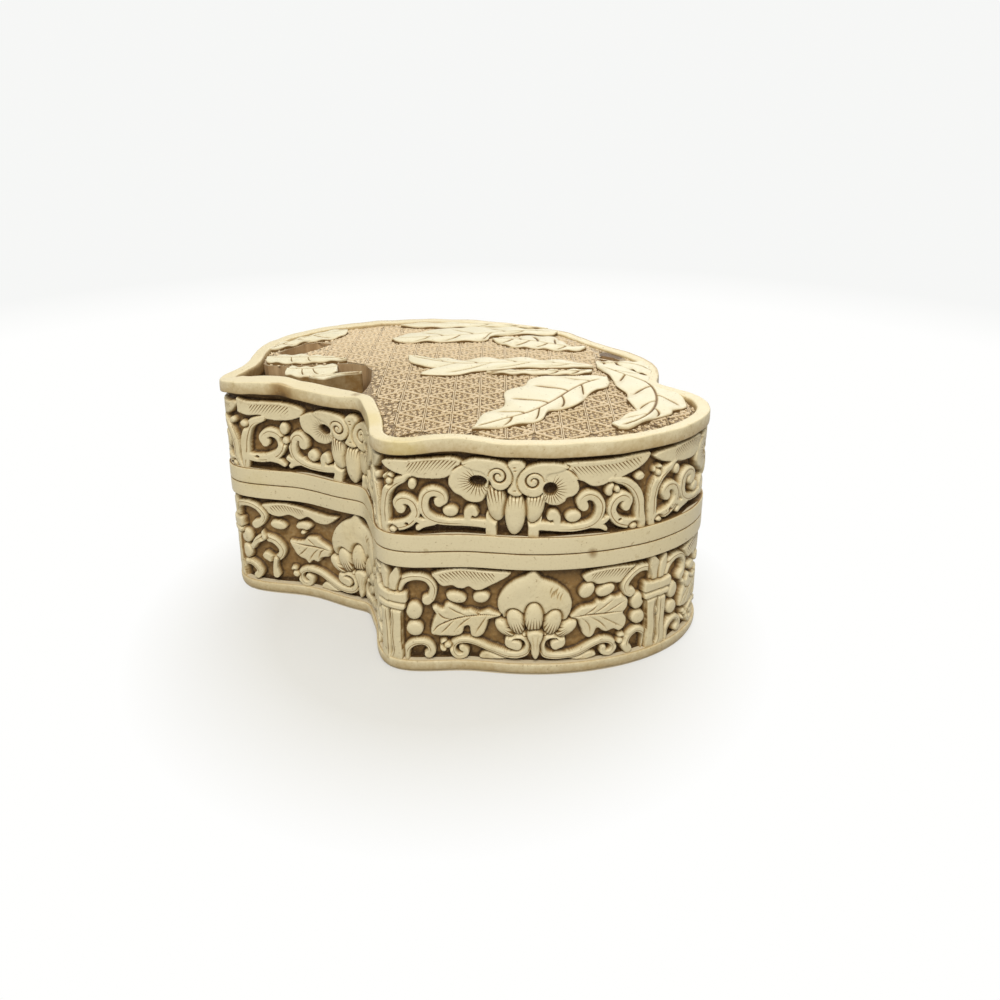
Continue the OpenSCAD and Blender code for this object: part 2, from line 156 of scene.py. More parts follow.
class Tree:
    """A node tree, and the method that adds nodes to it."""

    def __init__(self, tree):
        self.tree = tree

    def feed(self, socket, value):
        if isinstance(value, Value):
            self.tree.links.new(value.socket, socket)
        else:
            socket.default_value = value

    def node(self, kind, settings, sockets, out=0):
        made = self.tree.nodes.new(kind)
        for key, value in settings.items():
            if key == "stops":
                set_stops(made.color_ramp, value)
            else:
                setattr(made, key, value)
        for key, value in sockets.items():
            self.feed(made.inputs[key], value)
        return Value(self, made.outputs[out]) if made.outputs else None


print("sockets and trees wrapped")

# %% Define a finish
SPECULAR = 0.3
# Painted sheen: a finish can grow paler between these distances in y from the middle, in millimetres.
SHEEN_FROM = -12.0
SHEEN_TO = 28.0


class Finish(Tree):
    """A material and the nodes that paint it; lengths are in millimetres."""

    def __init__(self, name):
        self.material = bpy.data.materials.new(name)
        self.material.use_nodes = True
        super().__init__(self.material.node_tree)
        self.shader = self.tree.nodes["Principled BSDF"]

    def point(self):
        return self.node("ShaderNodeTexCoord", {}, {}, out="Object")

    def axis(self, name):
        """One coordinate of the point, in metres."""
        return self.node("ShaderNodeSeparateXYZ", {}, {"Vector": self.point()}, out=name)

    def attribute(self, name):
        return self.node("ShaderNodeAttribute", {"attribute_name": name}, {}, out="Fac")

    def mix(self, share, first, second):
        """Blends two colours; a typed colour has three numbers."""
        pair = [c if isinstance(c, Value) else (*c, 1.0) for c in (first, second)]
        sockets = {0: share, 6: pair[0], 7: pair[1]}
        return self.node("ShaderNodeMix", {"data_type": "RGBA"}, sockets, out=2)

    def noise(self, size, detail=3.0, where=None, twist=0.0):
        """Noise whose lumps are about this wide."""
        sockets = {"Scale": 1 / (size * MM), "Detail": detail, "Distortion": twist}
        sockets["Vector"] = where or self.point()
        return self.node("ShaderNodeTexNoise", {}, sockets)

    def distance(self, place):
        """How far the point is from a place, in metres."""
        sockets = {0: self.point(), 1: [c * MM for c in place]}
        return self.node("ShaderNodeVectorMath", {"operation": "DISTANCE"}, sockets, out="Value")

    def near(self, place, reach):
        """1 at a place, falling to 0 at a distance."""
        return (1 - self.distance(place) / (reach * MM)).clip()

    def backwards(self):
        """0 in the front half of the box, rising to 1 at its back."""
        return self.axis("Y").ramp(SHEEN_FROM * MM, SHEEN_TO * MM)

    def bump(self, height, distance, strength):
        sockets = {"Height": height, "Distance": distance * MM, "Strength": strength}
        return self.node("ShaderNodeBump", {}, sockets, out="Normal")

    def paint(self, colour, roughness, normal):
        self.feed(self.shader.inputs["Base Color"], colour)
        self.feed(self.shader.inputs["Roughness"], roughness)
        self.feed(self.shader.inputs["Normal"], normal)
        self.shader.inputs["Specular IOR Level"].default_value = SPECULAR
        print("finish", self.material.name, "with", len(self.tree.nodes), "nodes")
        return self.material


print("a finish fades between", SHEEN_FROM, "and", SHEEN_TO, "mm from the middle")


# %% [markdown]
# ## Studio
# The box stands on a white sweep under soft light. One large floor does it. Rays from the camera
# see it as white glow, mixed with lit paper near the box, while all other rays see grey paper.
# So the picture has a white ground, little light comes up from below, and the shadow of the
# box stays on the floor.

# %% Lay the floor
FLOOR_HALF = 3.0
NEAR_GLOW = 0.3
NEAR_MIDDLE = (-2.0, -24.0, 0.0)
NEAR_FROM = 0.044
NEAR_TO = 0.080
FAR_FROM = 0.33
FAR_TO = 0.42
NEAR_WHITE = (1.0, 1.0, 0.99)
FAR_WHITE = (0.925, 0.93, 0.92)
PAPER_SEEN = (0.66, 0.645, 0.585)
PAPER_UNSEEN = (0.36, 0.35, 0.33)
floor_mesh = bpy.data.meshes.new("floor")
floor_corners = [(FLOOR_HALF * x, FLOOR_HALF * y, 0) for x, y in ((-1, -1), (1, -1), (1, 1), (-1, 1))]
floor_mesh.from_pydata(floor_corners, [], [(0, 1, 2, 3)])
floor = add_object("floor", floor_mesh)
paper = Finish("studio_white")
rays = paper.node("ShaderNodeLightPath", {}, {}, out="Is Camera Ray")
seen = rays.over(rays.other("Is Glossy Ray")).over(rays.other("Is Transmission Ray"))
far = paper.distance((0, 0, 0)).ramp(FAR_FROM, FAR_TO)
glow = paper.node("ShaderNodeEmission", {}, {"Color": paper.mix(far, NEAR_WHITE, FAR_WHITE)})
lit = paper.node("ShaderNodeBsdfDiffuse", {}, {"Color": paper.mix(seen, PAPER_UNSEEN, PAPER_SEEN)})
away = paper.distance(NEAR_MIDDLE).ramp(NEAR_FROM, NEAR_TO)
share = seen * (NEAR_GLOW + away * (1 - NEAR_GLOW))
blend = paper.node("ShaderNodeMixShader", {}, {0: share, 1: lit, 2: glow})
paper.feed(paper.tree.nodes["Material Output"].inputs["Surface"], blend)
paper.tree.nodes.remove(paper.shader)
floor_mesh.materials.append(paper.material)
print("floor", 2 * FLOOR_HALF, "m wide")

# %% Hang the lights
WORLD_LEVEL = 0.36
LIT_MIDDLE = (0, 0, 0.03)
world = bpy.data.worlds.new("studio")
scene.world = world
world.use_nodes = True
sky = Tree(world.node_tree)
sky_light = sky.tree.nodes["Background"]
sky_light.inputs["Color"].default_value = (1.0, 1.0, 1.0, 1.0)
sky_light.inputs["Strength"].default_value = WORLD_LEVEL
sky_white = sky.node("ShaderNodeBackground", {}, {"Color": (*FAR_WHITE, 1.0)})
sky_rays = sky.node("ShaderNodeLightPath", {}, {}, out="Is Camera Ray")
sky_seen = sky_rays.over(sky_rays.other("Is Glossy Ray"))
sky_parts = {0: sky_seen, 1: Value(sky, sky_light.outputs[0]), 2: sky_white}
sky_mix = sky.node("ShaderNodeMixShader", {}, sky_parts)
sky.feed(sky.tree.nodes["World Output"].inputs["Surface"], sky_mix)


def soft_box(name, place, width, watts):
    """A square area light, aimed at the middle of the box."""
    data = bpy.data.lights.new(name, "AREA")
    data.shape = "SQUARE"
    data.size = width
    data.energy = watts
    lamp = add_object(name, data)
    lamp.location = place
    back = lamp.location - type(lamp.location)(LIT_MIDDLE)
    lamp.rotation_euler = back.to_track_quat("Z", "Y").to_euler()
    lamp.visible_camera = False


soft_box("key", (-0.04, -0.54, 0.71), 0.40, 6.0)
soft_box("top", (0.1, 0.25, 0.85), 0.5, 1.3)
soft_box("back", (0.2, 0.62, 0.45), 0.5, 1.3)
scene.view_settings.view_transform = "Standard"
print("three soft boxes and a white world at", WORLD_LEVEL)

# %% [markdown]
# ## The wall's line
# Both friezes, the bands and the rim follow one outline, and the wall leans in a little towards
# the rim. The foot's CAD mesh has the outline as 156 corners, moved out to the foot. A smooth
# line through the corners, moved back in, gives points at any length round the wall and the
# outward direction there. The solids' notch on the left is a little shallow, so everything near
# it is moved in. Lengths start near the left end of the front panel and grow to the
# right, as seen from outside.

# %% Read the outline
HUB = (4.0, -6.0)
START = (-12.3, -47.6)
FOOT_OUT = 1.4
BAND_OUT = 0.5
SEAM_Z = 31.5
NOTCH = np.array((-19.1, -25.7))
NOTCH_REACH = 9.0
NOTCH_MOVE = np.array((-2.1, 1.5))


def flow(points, closed=False, steps=8):
    """A smooth line through a few points."""
    p = np.asarray(points, float)
    if closed:
        p = np.vstack([p[-1:], p, p[:2]])
    else:
        p = np.vstack([2 * p[0] - p[1], p, 2 * p[-1] - p[-2]])
    t = (np.arange(steps) / steps)[None, :, None]
    a, b, c, d = [q[:, None] for q in (p[:-3], p[1:-2], p[2:-1], p[3:])]
    line = b + 0.5 * t * (c - a + t * (2 * a - 5 * b + 4 * c - d + t * (3 * b - a - 3 * c + d)))
    line = line.reshape(-1, p.shape[1])
    return line if closed else np.vstack([line, p[-2:-1]])


def outward(line):
    """The outward direction at each point of a closed line that runs counterclockwise."""
    along = np.roll(line, -1, axis=0) - np.roll(line, 1, axis=0)
    along /= np.hypot(*along.T)[:, None]
    return np.column_stack([along[:, 1], -along[:, 0]])


def deepen(points):
    """Moves plan points near the notch on the left inwards."""
    gap = np.hypot(*(points - NOTCH).T)
    return points + np.exp(-(gap / NOTCH_REACH) ** 2)[:, None] * NOTCH_MOVE


def face(z):
    """How far the leaning wall stands outside the rim's line at a height."""
    return FOOT_OUT - (FOOT_OUT - BAND_OUT) * z / SEAM_Z


FOOT_LEVEL = 1e-5
foot_points = [v.co / MM for v in nodes["base_plinth"].data.vertices if v.co.z < FOOT_LEVEL]
foot_set = {(round(p.x, 4), round(p.y, 4)) for p in foot_points}
corners = np.array(sorted(foot_set, key=lambda p: math.atan2(p[1] - HUB[1], p[0] - HUB[0])))
foot_line = flow(corners, closed=True, steps=6)
outline = deepen(foot_line - FOOT_OUT * outward(foot_line))
outline = np.roll(outline, -np.argmin(np.hypot(*(outline - START).T)), axis=0)
run = np.concatenate([[0], np.cumsum(np.hypot(*(np.roll(outline, -1, axis=0) - outline).T))])
GIRTH = run[-1]
track = np.column_stack([outline, outward(outline)])
ring_track = np.vstack([track, track[:1]])


def on_wall(s, out):
    """Plan points this far round the wall and this far outside its line, in millimetres."""
    x, y, nx, ny = [np.interp(np.mod(s, GIRTH), run, column) for column in ring_track.T]
    return x + out * nx, y + out * ny


print("outline of", len(corners), "corners,", round(GIRTH, 1), "mm round")

# %% [markdown]
# ## Finishes
# The resin is stained brown all over and then wiped, so the crests are pale and the recesses stay
# dark. Each carved mesh carries an attribute called patina, from 0 on a crest to 1 in a
# recess, and a colour ramp turns it into cream, honey, brown and almost black. Besides the patina
# it holds painted shade: beside raised edges, under the bands and the rim, and in the gaps between
# parts. Noise makes the wiping uneven and adds specks and pores. Hatching is too fine for a mesh,
# so two more attributes carry it: phase passes a whole number at every stroke, and ink is the
# stroke's width. The attributes travel with the mesh, so nothing slides.

# %% Mix the resin finishes
CREAM = (0.73, 0.625, 0.385)
HONEY = (0.50, 0.37, 0.18)
BROWN = (0.25, 0.142, 0.044)
DARK = (0.055, 0.027, 0.007)
OCHRE = (0.60, 0.47, 0.15)
YELLOWING = np.array((0.94, 0.86, 0.64))
WIPE_SIZE = 2.2
CLOUD_SIZE = 13.0
MOTTLE_SIZE = 0.9
PORE_SIZE = 0.45
SPECK_SIZE = 0.8
WIPE_SHARE = 0.28
CLOUD_SHARE = 0.24
STROKE_SHARE = 0.7
PORE_SHARE = 0.30
SPECK_SHARE = 0.45
YELLOW_SHARE = 0.35
BUMP_HEIGHT = 0.11
BUMP_STRENGTH = 0.55


def patina_finish(name, tones, places, gloss, stains=(), mottle=0.14, back_sheen=0.0):
    """Wiped resin: a ramp over the patina attribute, uneven wiping, specks, stains and pores.

    Back sheen is painted sheen: how far the colour goes towards the palest tone at the back of the box.
    """
    finish = Finish(name)
    wiping = finish.noise(WIPE_SIZE, 4.0)
    cloud = finish.noise(CLOUD_SIZE, 2.0)
    pores = finish.noise(PORE_SIZE, 2.0)
    stain = finish.attribute("patina")
    stroke = finish.attribute("ink").past(finish.attribute("phase").waves(1.0), 5)
    uneven = stain + stroke * STROKE_SHARE + (wiping - 0.5) * WIPE_SHARE + (cloud - 0.5) * CLOUD_SHARE
    uneven = (uneven + (finish.noise(MOTTLE_SIZE, 3.0) - 0.5) * mottle).clip()
    colour = finish.node("ShaderNodeValToRGB", {"stops": list(zip(places, tones))}, {"Fac": uneven})
    colour = finish.mix(pores.past(0.56, 5) * PORE_SHARE, colour, tones[1])
    colour = finish.mix(finish.noise(SPECK_SIZE, 1.0).past(0.70, 16) * SPECK_SHARE, colour, tones[2])
    yellow = cloud.past(0.52, 2.4) * (1 - stain).clip() * YELLOW_SHARE
    colour = finish.mix(yellow, colour, tuple(YELLOWING * tones[0]))
    for spot, tint, share_of in stains:
        patch = (finish.near(*spot) * 1.6 + (wiping - 0.5) * 1.2 - 0.2).clip() * share_of
        colour = finish.mix(patch, colour, tint)
    # Painted sheen: the colour grows paler towards the back of the box.
    colour = finish.mix(finish.backwards() * back_sheen, colour, tones[0])
    rough = (gloss + stain * 0.2 + (wiping - 0.5) * 0.14).clip()
    height = pores * 0.55 + wiping * 0.45 - stroke * 1.2
    return finish.paint(colour, rough, finish.bump(height, BUMP_HEIGHT, BUMP_STRENGTH))


RESIN = (CREAM, HONEY, BROWN, DARK)
LEAF = ((0.735, 0.665, 0.455), (0.56, 0.45, 0.255), BROWN, DARK)
TAN = ((0.76, 0.615, 0.40), (0.50, 0.37, 0.195), (0.25, 0.16, 0.066), (0.10, 0.06, 0.022))
TIP_STAIN = ((-9.6, -48.0, 55.0), 6.5)
NOTCH_STAIN = ((-17.2, -35.0, 57.0), 6.0)
BAND_STAIN = ((-52.0, -20.0, 33.0), 9.0)
SEAM_CHIP = ((30.6, -48.4, 31.3), 1.9)
RIM_CHIP = ((-22.6, -21.4, 57.2), 1.9)
BAND_MARKS = [(stain, OCHRE, 0.4) for stain in (TIP_STAIN, NOTCH_STAIN, BAND_STAIN)]
BAND_MARKS += [(chip, BROWN, 0.95) for chip in (SEAM_CHIP, RIM_CHIP)]
carved_ivory = patina_finish("carved_ivory", RESIN, (0.05, 0.32, 0.62, 0.98), 0.44, (), 0.26)
band_ivory = patina_finish("band_ivory", RESIN, (0.10, 0.42, 0.72, 1.0), 0.40, BAND_MARKS, 0.3)
leaf_cream = patina_finish("leaf_cream", LEAF, (0.12, 0.42, 0.72, 1.0), 0.40)
# The lattice's last number is a painted sheen towards the back of the box.
tan_lattice = patina_finish("tan_lattice", TAN, (0.05, 0.4, 0.75, 1.0), 0.44, (), 0.4, 0.6)

# %% [markdown]
# ## Swept rings
# The foot band, the two bands at the seam and the rim are the same idea: a rounded section carried
# round the outline. Spin only makes circles, and a bevelled curve keeps its section square to
# the path but can't be measured easily. A small Geometry Nodes tree with Curve to Mesh does it
# for all four, with the section as an input and a slight waver, because the real ones were
# cut by hand.

# %% Build the ring tree
class Maker(Tree):
    """A geometry tree that turns a helper object into a mesh."""

    def __init__(self, name, inputs):
        super().__init__(bpy.data.node_groups.new(name, "GeometryNodeTree"))
        self.socket("Geometry", "Geometry")
        self.keys = [self.socket(label, kind) for label, kind in inputs]
        self.socket("Geometry", "Geometry", "OUTPUT")
        self.enter = self.node("NodeGroupInput", {}, {})

    def socket(self, label, kind, way="INPUT"):
        made = self.tree.interface.new_socket(label, in_out=way, socket_type="NodeSocket" + kind)
        return made.identifier

    def end(self, geometry):
        """Sets the finish and ends the tree."""
        dressing = {"Geometry": geometry, "Material": self.enter.other("Finish")}
        self.node("NodeGroupOutput", {}, {0: self.node("GeometryNodeSetMaterial", {}, dressing)})
        print(self.tree.name, "tree with", len(self.tree.nodes), "nodes")

    def make(self, helper, *values):
        """The mesh from a helper and the values of the inputs; the helpers then go."""
        maker = helper.modifiers.new(self.tree.name, "NODES")
        maker.node_group = self.tree
        for key, value in zip(self.keys, values):
            maker[key] = value
        view = bpy.context.evaluated_depsgraph_get()
        mesh = bpy.data.meshes.new_from_object(helper.evaluated_get(view))
        helper.modifiers.remove(maker)
        for used in (helper, *values):
            if isinstance(used, bpy.types.Object):
                bpy.data.objects.remove(used)
        return mesh


RING_INPUTS = [("Section", "Object"), ("Waver", "Float"), ("Lump size", "Float"), ("Finish", "Material")]
ring = Maker("swept_ring", RING_INPUTS)
path = ring.node("GeometryNodeSetCurveNormal", {"mode": "Z_UP"}, {"Curve": ring.enter})
section_in = {"Object": ring.enter.other("Section")}
section = ring.node("GeometryNodeObjectInfo", {}, section_in, out="Geometry")
swept = ring.node("GeometryNodeCurveToMesh", {}, {"Curve": path, "Profile Curve": section})
lump_in = {"Scale": 1 / ring.enter.other("Lump size"), "Detail": 1.0}
lumps = ring.node("ShaderNodeTexNoise", {}, lump_in, out="Color")
middle_in = {0: lumps, 1: (0.5, 0.5, 0.5)}
centred = ring.node("ShaderNodeVectorMath", {"operation": "SUBTRACT"}, middle_in)
waver_in = {0: centred, "Scale": ring.enter.other("Waver")}
waver = ring.node("ShaderNodeVectorMath", {"operation": "SCALE"}, waver_in)
moved = ring.node("GeometryNodeSetPosition", {}, {"Geometry": swept, "Offset": waver})
smooth = ring.node("GeometryNodeSetShadeSmooth", {}, {"Geometry": moved})
ring.end(ring.node("GeometryNodeRealizeInstances", {}, {"Geometry": smooth}))

# %% Define pieces and rings
INNER_FROM = 0.8
INNER_TO = 2.4
OUTER_FROM = -1.3
OUTER_TO = -0.4
LIFT_OVER = 0.9
EVEN = ((0, 0.0),)
pieces = {}


def place(name, mesh, body, slot):
    """Adds a finished piece at the origin and notes what it rides on."""
    pieces[name] = (add_object(name, mesh), body, slot)
    print(name, sum(len(p.vertices) - 2 for p in mesh.polygons), "triangles")


def write_layer(mesh, values, name="patina"):
    layer = mesh.attributes.new(name, "FLOAT", "POINT")
    layer.data.foreach_set("value", np.ravel(values).astype(np.float32))


def spots_of(mesh):
    """The points of a mesh, one in each row, in metres."""
    spots = np.empty(len(mesh.vertices) * 3)
    mesh.vertices.foreach_get("co", spots)
    return spots.reshape(-1, 3)


def ease(value, low, high):
    """0 below low, 1 above high, and smooth between."""
    t = np.clip((value - low) / (high - low), 0, 1)
    return t * t * (3 - 2 * t)


def round_wall(amounts):
    """Amounts at places round the wall, carried smoothly from one to the next."""
    places, values = np.array(sorted(amounts), float).T
    turn = np.concatenate([places - GIRTH, places, places + GIRTH])
    at = run[:-1]
    after = np.searchsorted(turn, at, side="right")
    share = ease(at, turn[after - 1], turn[after])
    cycle = np.tile(values, 3)
    return (cycle[after - 1] * (1 - share) + cycle[after] * share)[:, None]


def poly_curve(name, points):
    """A closed line as a curve object, in metres."""
    data = bpy.data.curves.new(name, "CURVE")
    data.dimensions = "3D"
    spline = data.splines.new("POLY")
    spline.points.add(len(points) - 1)
    flat = np.column_stack([np.asarray(points) * MM, np.ones(len(points))])
    spline.points.foreach_set("co", flat.ravel())
    spline.use_cyclic_u = True
    return add_object(name, data)


def swept_ring(name, body, rows, waver, lump=12.0, lifts=EVEN, widens=EVEN, browns_and_shade=EVEN):
    """Carries a section round the wall; a row is (out from the wall's face, height, stain), where
    the stain is painted shade on undersides, at the seam and where a ring meets the carving.

    Lifts raise all but its inner foot, widens move its inner side in and browns_and_shade darken
    its outer side with brown stain and painted shade, each as (place round the wall, amount).
    """
    line = flow(rows, closed=True, steps=4)
    out, height, stain = line.T
    path = poly_curve(name + "_path", np.column_stack([outline, np.zeros(len(outline))]))
    flat = np.column_stack([out + face(height), -height, np.zeros(len(line))])
    mesh = ring.make(path, poly_curve(name + "_section", flat), waver * MM, lump * MM, band_ivory)
    mesh.name = name
    inner = ease(-out, INNER_FROM, INNER_TO)
    outer = ease(out, OUTER_FROM, OUTER_TO)
    raised = np.maximum(outer, ease(height, height.min(), height.min() + LIFT_OVER))
    write_layer(mesh, np.clip(stain + round_wall(browns_and_shade) * outer, 0, 1))
    spots = spots_of(mesh).reshape(len(outline), len(line), 3)
    spots[..., :2] -= (inner * round_wall(widens))[..., None] * track[:, None, 2:] * MM
    spots[..., 2] += round_wall(lifts) * raised * MM
    mesh.vertices.foreach_set("co", spots.ravel())
    place(name, mesh, body, "ivory_resin")


print("rings follow", len(outline), "points of the outline")

# %% Sweep the four rings
# The third number of each row darkens the ring. Low on the foot, on undersides, at the seam, on the ledges
# where a ring meets the carving and on the rim's inner side it is painted shade.
FOOT_SECTION = [
    (-3.4, 3.1, 1.0), (-1.3, 3.15, 0.9), (-0.4, 3.08, 0.4), (-0.05, 2.85, 0.2), (-0.03, 1.8, 0.3),
    (-0.2, 0.85, 0.42), (-0.5, 0.4, 0.6), (-1.0, 0.34, 0.8), (-3.4, 0.34, 0.8),
]
TUB_SECTION = [
    (-3.4, 31.3, 0.2), (-0.6, 31.4, 0.7), (-0.14, 31.36, 0.5), (-0.02, 31.2, 0.1), (0.0, 29.5, 0.03),
    (-0.02, 27.95, 0.06), (-0.12, 27.72, 0.3), (-0.6, 27.62, 0.9), (-3.4, 27.7, 1.0),
]
LID_SECTION = [
    (-3.4, 35.5, 1.0), (-0.6, 35.58, 0.9), (-0.14, 35.5, 0.3), (-0.02, 35.3, 0.06), (0.0, 33.5, 0.03),
    (-0.02, 31.9, 0.1), (-0.14, 31.7, 0.5), (-0.6, 31.65, 0.7), (-3.4, 31.75, 0.2),
]
RIM_SECTION = [
    (-3.3, 54.6, 0.66), (-3.25, 55.9, 0.6), (-3.05, 56.55, 0.45), (-2.7, 56.9, 0.05), (-1.8, 57.0, 0.0),
    (-0.5, 57.0, 0.0), (-0.1, 56.9, 0.0), (0.03, 56.6, 0.14), (0.1, 55.4, 0.28), (0.08, 54.3, 0.4),
    (-0.06, 53.98, 0.5), (-0.6, 53.9, 1.0), (-3.2, 53.8, 1.0),
]
RIM_LIFTS = [
    (0, 0.0), (12.5, 0.85), (25, 0.0), (150, 0.0), (190, 0.3), (230, 0.0), (282, 0.3), (290, 1.0),
    (297, 1.4), (301.5, 1.5), (306, 0.7), (312, 0.5), (318, 0.6), (325, 1.2), (332, 0.6), (340, 0.0),
]
RIM_WIDENS = [(278, 0.0), (286, 2.2), (296, 2.8), (308, 2.6), (318, 2.2), (324, 0.0)]
# Brown along the rim's outer side; at 302.5 it is painted shade in the dip of the rim.
RIM_BROWNS_AND_SHADE = [
    (100, 0.0), (112, 0.4), (150, 0.45), (165, 0.15), (185, 0.4), (215, 0.5), (232, 0.0), (298, 0.0),
    (302.5, 0.45), (308, 0.0),
]
swept_ring("foot_band", "base", FOOT_SECTION, 0.24)
swept_ring("tub_band", "base", TUB_SECTION, 0.3)
swept_ring("lid_band", "lid", LID_SECTION, 0.3)
swept_ring("rim_bead", "lid", RIM_SECTION, 0.6, 8.0, RIM_LIFTS, RIM_WIDENS, RIM_BROWNS_AND_SHADE)

# %% [markdown]
# ## Cores
# Inside the bands and behind the carving are the plain walls of the tub and the lid, with the
# locating lip and the rebate that takes it. The CAD solids are right there, so a copy of each is
# merged, shaded smooth, and drawn in a little on its outer side, where the rings and the
# carving now make the surface.

# %% Copy the plain walls
DRAW_IN = 0.6
OUTER_LIMIT = -3.0
MERGE = 1e-6
CREASE = math.radians(28)
UPRIGHT = 0.6


def nearest_wall(points):
    """The offset of plan points from the outline, and the outward direction there."""
    spot = np.array([np.argmin(np.hypot(*(outline - p).T)) for p in points])
    away = track[spot, 2:]
    return ((points - track[spot, :2]) * away).sum(axis=1), away


def mended(mesh, work):
    """Does one piece of work on the corners or faces of a mesh."""
    shape = bmesh.new()
    shape.from_mesh(mesh)
    work(shape)
    shape.to_mesh(mesh)
    shape.free()


def core(name, node, body, finishes, slot="ivory_resin"):
    """A merged copy of a CAD solid without its stored normals, which no longer fit.

    A second finish goes on its upright faces.
    """
    mesh = nodes[node].data.copy()
    mesh.name = name
    mended(mesh, lambda shape: bmesh.ops.remove_doubles(shape, verts=shape.verts, dist=MERGE))
    mesh.attributes.remove(mesh.attributes["custom_normal"])
    spots = spots_of(mesh)
    spots[:, :2] = deepen(spots[:, :2] / MM) * MM
    offset, away = nearest_wall(spots[:, :2] / MM)
    spots[:, :2] -= np.where(offset > OUTER_LIMIT, DRAW_IN * MM, 0)[:, None] * away
    mesh.vertices.foreach_set("co", spots.ravel())
    mesh.shade_smooth()
    mesh.set_sharp_from_angle(angle=CREASE)
    mesh.materials.clear()
    for finish in finishes:
        mesh.materials.append(finish)
    for polygon in mesh.polygons:
        polygon.material_index = int(len(finishes) > 1 and abs(polygon.normal.z) < UPRIGHT)
    mesh.update()
    place(name, mesh, body, slot)


print("walls drawn in by", DRAW_IN, "mm")

# %% [markdown]
# The inside is plain ivory. The hollows in the lid's top are stained brown, in streaks that ran down
# their sides, and darkest at the bottom. Noise stretched upwards gives the streaks, and the height of
# the point tells the hollow from the inside, so one finish serves the whole lid.

# %% Finish and place the plain walls
HOLLOW_FROM = 49.5 * MM
HOLLOW_TO = 54.5 * MM
HOLLOW_DARK = (0.13, 0.068, 0.026)
STREAK_DARK = (0.31, 0.185, 0.08)
STREAK_PALE = (0.61, 0.435, 0.235)
INSIDE_PALE = (0.70, 0.60, 0.40)
INSIDE_DEEP = (0.62, 0.51, 0.32)


def streaks(finish):
    """Brown stain that has run down an upright face: its streaks and its colour."""
    run_down = {"Vector": finish.point(), "Scale": (1, 1, 0.22)}
    streak = finish.noise(2.4, 4.0, where=finish.node("ShaderNodeMapping", {}, run_down)).past(0.28, 2.0)
    shallow = finish.axis("Z").ramp(HOLLOW_FROM, HOLLOW_TO)
    return streak, finish.mix(shallow, HOLLOW_DARK, finish.mix(streak, STREAK_DARK, STREAK_PALE))


def hollow_finish():
    finish = Finish("hollow_brown")
    streak, colour = streaks(finish)
    return finish.paint(colour, 0.45 + streak * 0.12, finish.bump(streak, 0.5, 0.8))


def inside_finish():
    """Plain ivory inside, and brown streaks in the hollow of the lid's top."""
    finish = Finish("resin_inside")
    streak, stained = streaks(finish)
    plain = finish.mix(finish.noise(9.0, 3.0), INSIDE_PALE, INSIDE_DEEP)
    in_hollow = finish.axis("Z").past(HOLLOW_FROM, 4000)
    colour = finish.mix(in_hollow, plain, stained)
    return finish.paint(colour, 0.48 + streak * 0.12, finish.bump(streak * in_hollow, 0.4, 0.6))


resin_inside = inside_finish()
hollow_brown = hollow_finish()
core("tub_wall", "base_wall", "base", [resin_inside])
core("tub_floor", "base_plinth", "base", [resin_inside])
core("lid_wall", "lid_shell", "lid", [resin_inside])

# %% [markdown]
# ## Carving kit
# A frieze is relief: every point of the wall has one height. It could be sculpted or built from
# hundreds of small meshes, but a height map is closer to how a carver works, one motif laid on
# another, each with a groove cut round it. The map is drawn in millimetres, with s along the
# wall and z up it, then bent onto the wall. Tops are flat and sides steep, as on a casting
# from a carved master.

# %% Measure and soften maps
def blurred(field, reach):
    """A soft copy of a map; reach is in cells."""
    pad = int(4 * reach) + 1
    wide = np.pad(field, pad, mode="edge")
    down = np.fft.fftfreq(wide.shape[0])[:, None]
    across = np.fft.rfftfreq(wide.shape[1])[None, :]
    kernel = np.exp(-2 * (math.pi * reach) ** 2 * (down ** 2 + across ** 2))
    soft = np.fft.irfft2(np.fft.rfft2(wide) * kernel, s=wide.shape)
    return soft[pad:-pad, pad:-pad]


def within(points, line):
    """Whether points lie inside a closed line."""
    x = points[:, :1]
    y = points[:, 1:]
    nxt = np.roll(line, -1, axis=0)
    spans = (line[:, 1] > y) != (nxt[:, 1] > y)
    rise = np.where(nxt[:, 1] == line[:, 1], 1e-9, nxt[:, 1] - line[:, 1])
    hits = spans & (x < line[:, 0] + (y - line[:, 1]) * (nxt[:, 0] - line[:, 0]) / rise)
    return hits.sum(axis=1) % 2 == 1


print("maps can be softened and measured")

# %% Define the height map
LINE_SPREAD = 0.7
WAVER_REACH = 1.8
WAVER = 0.1
MOAT = 0.42
CUT = 0.7
ROUGH_REACH = 2.2
SWELL_REACH = 9.0
SOFTEN = 0.35
GROUND_DEEP = 1.25
# The near and wide terms darken the ground beside raised edges, patina and painted shade; LOW_FADE and
# HIGH_FADE set painted shade next to the bands and under the rim.
NEAR_REACH = 0.34
NEAR_DEEP = 0.45
WIDE_REACH = 1.5
WIDE_DEEP = 0.9
NEAR_SHARE = 0.36
WIDE_SHARE = 0.06
STAIN_AND_SHADE_SHARE = 0.68
LOW_FADE = 0.6
HIGH_FADE = 0.8


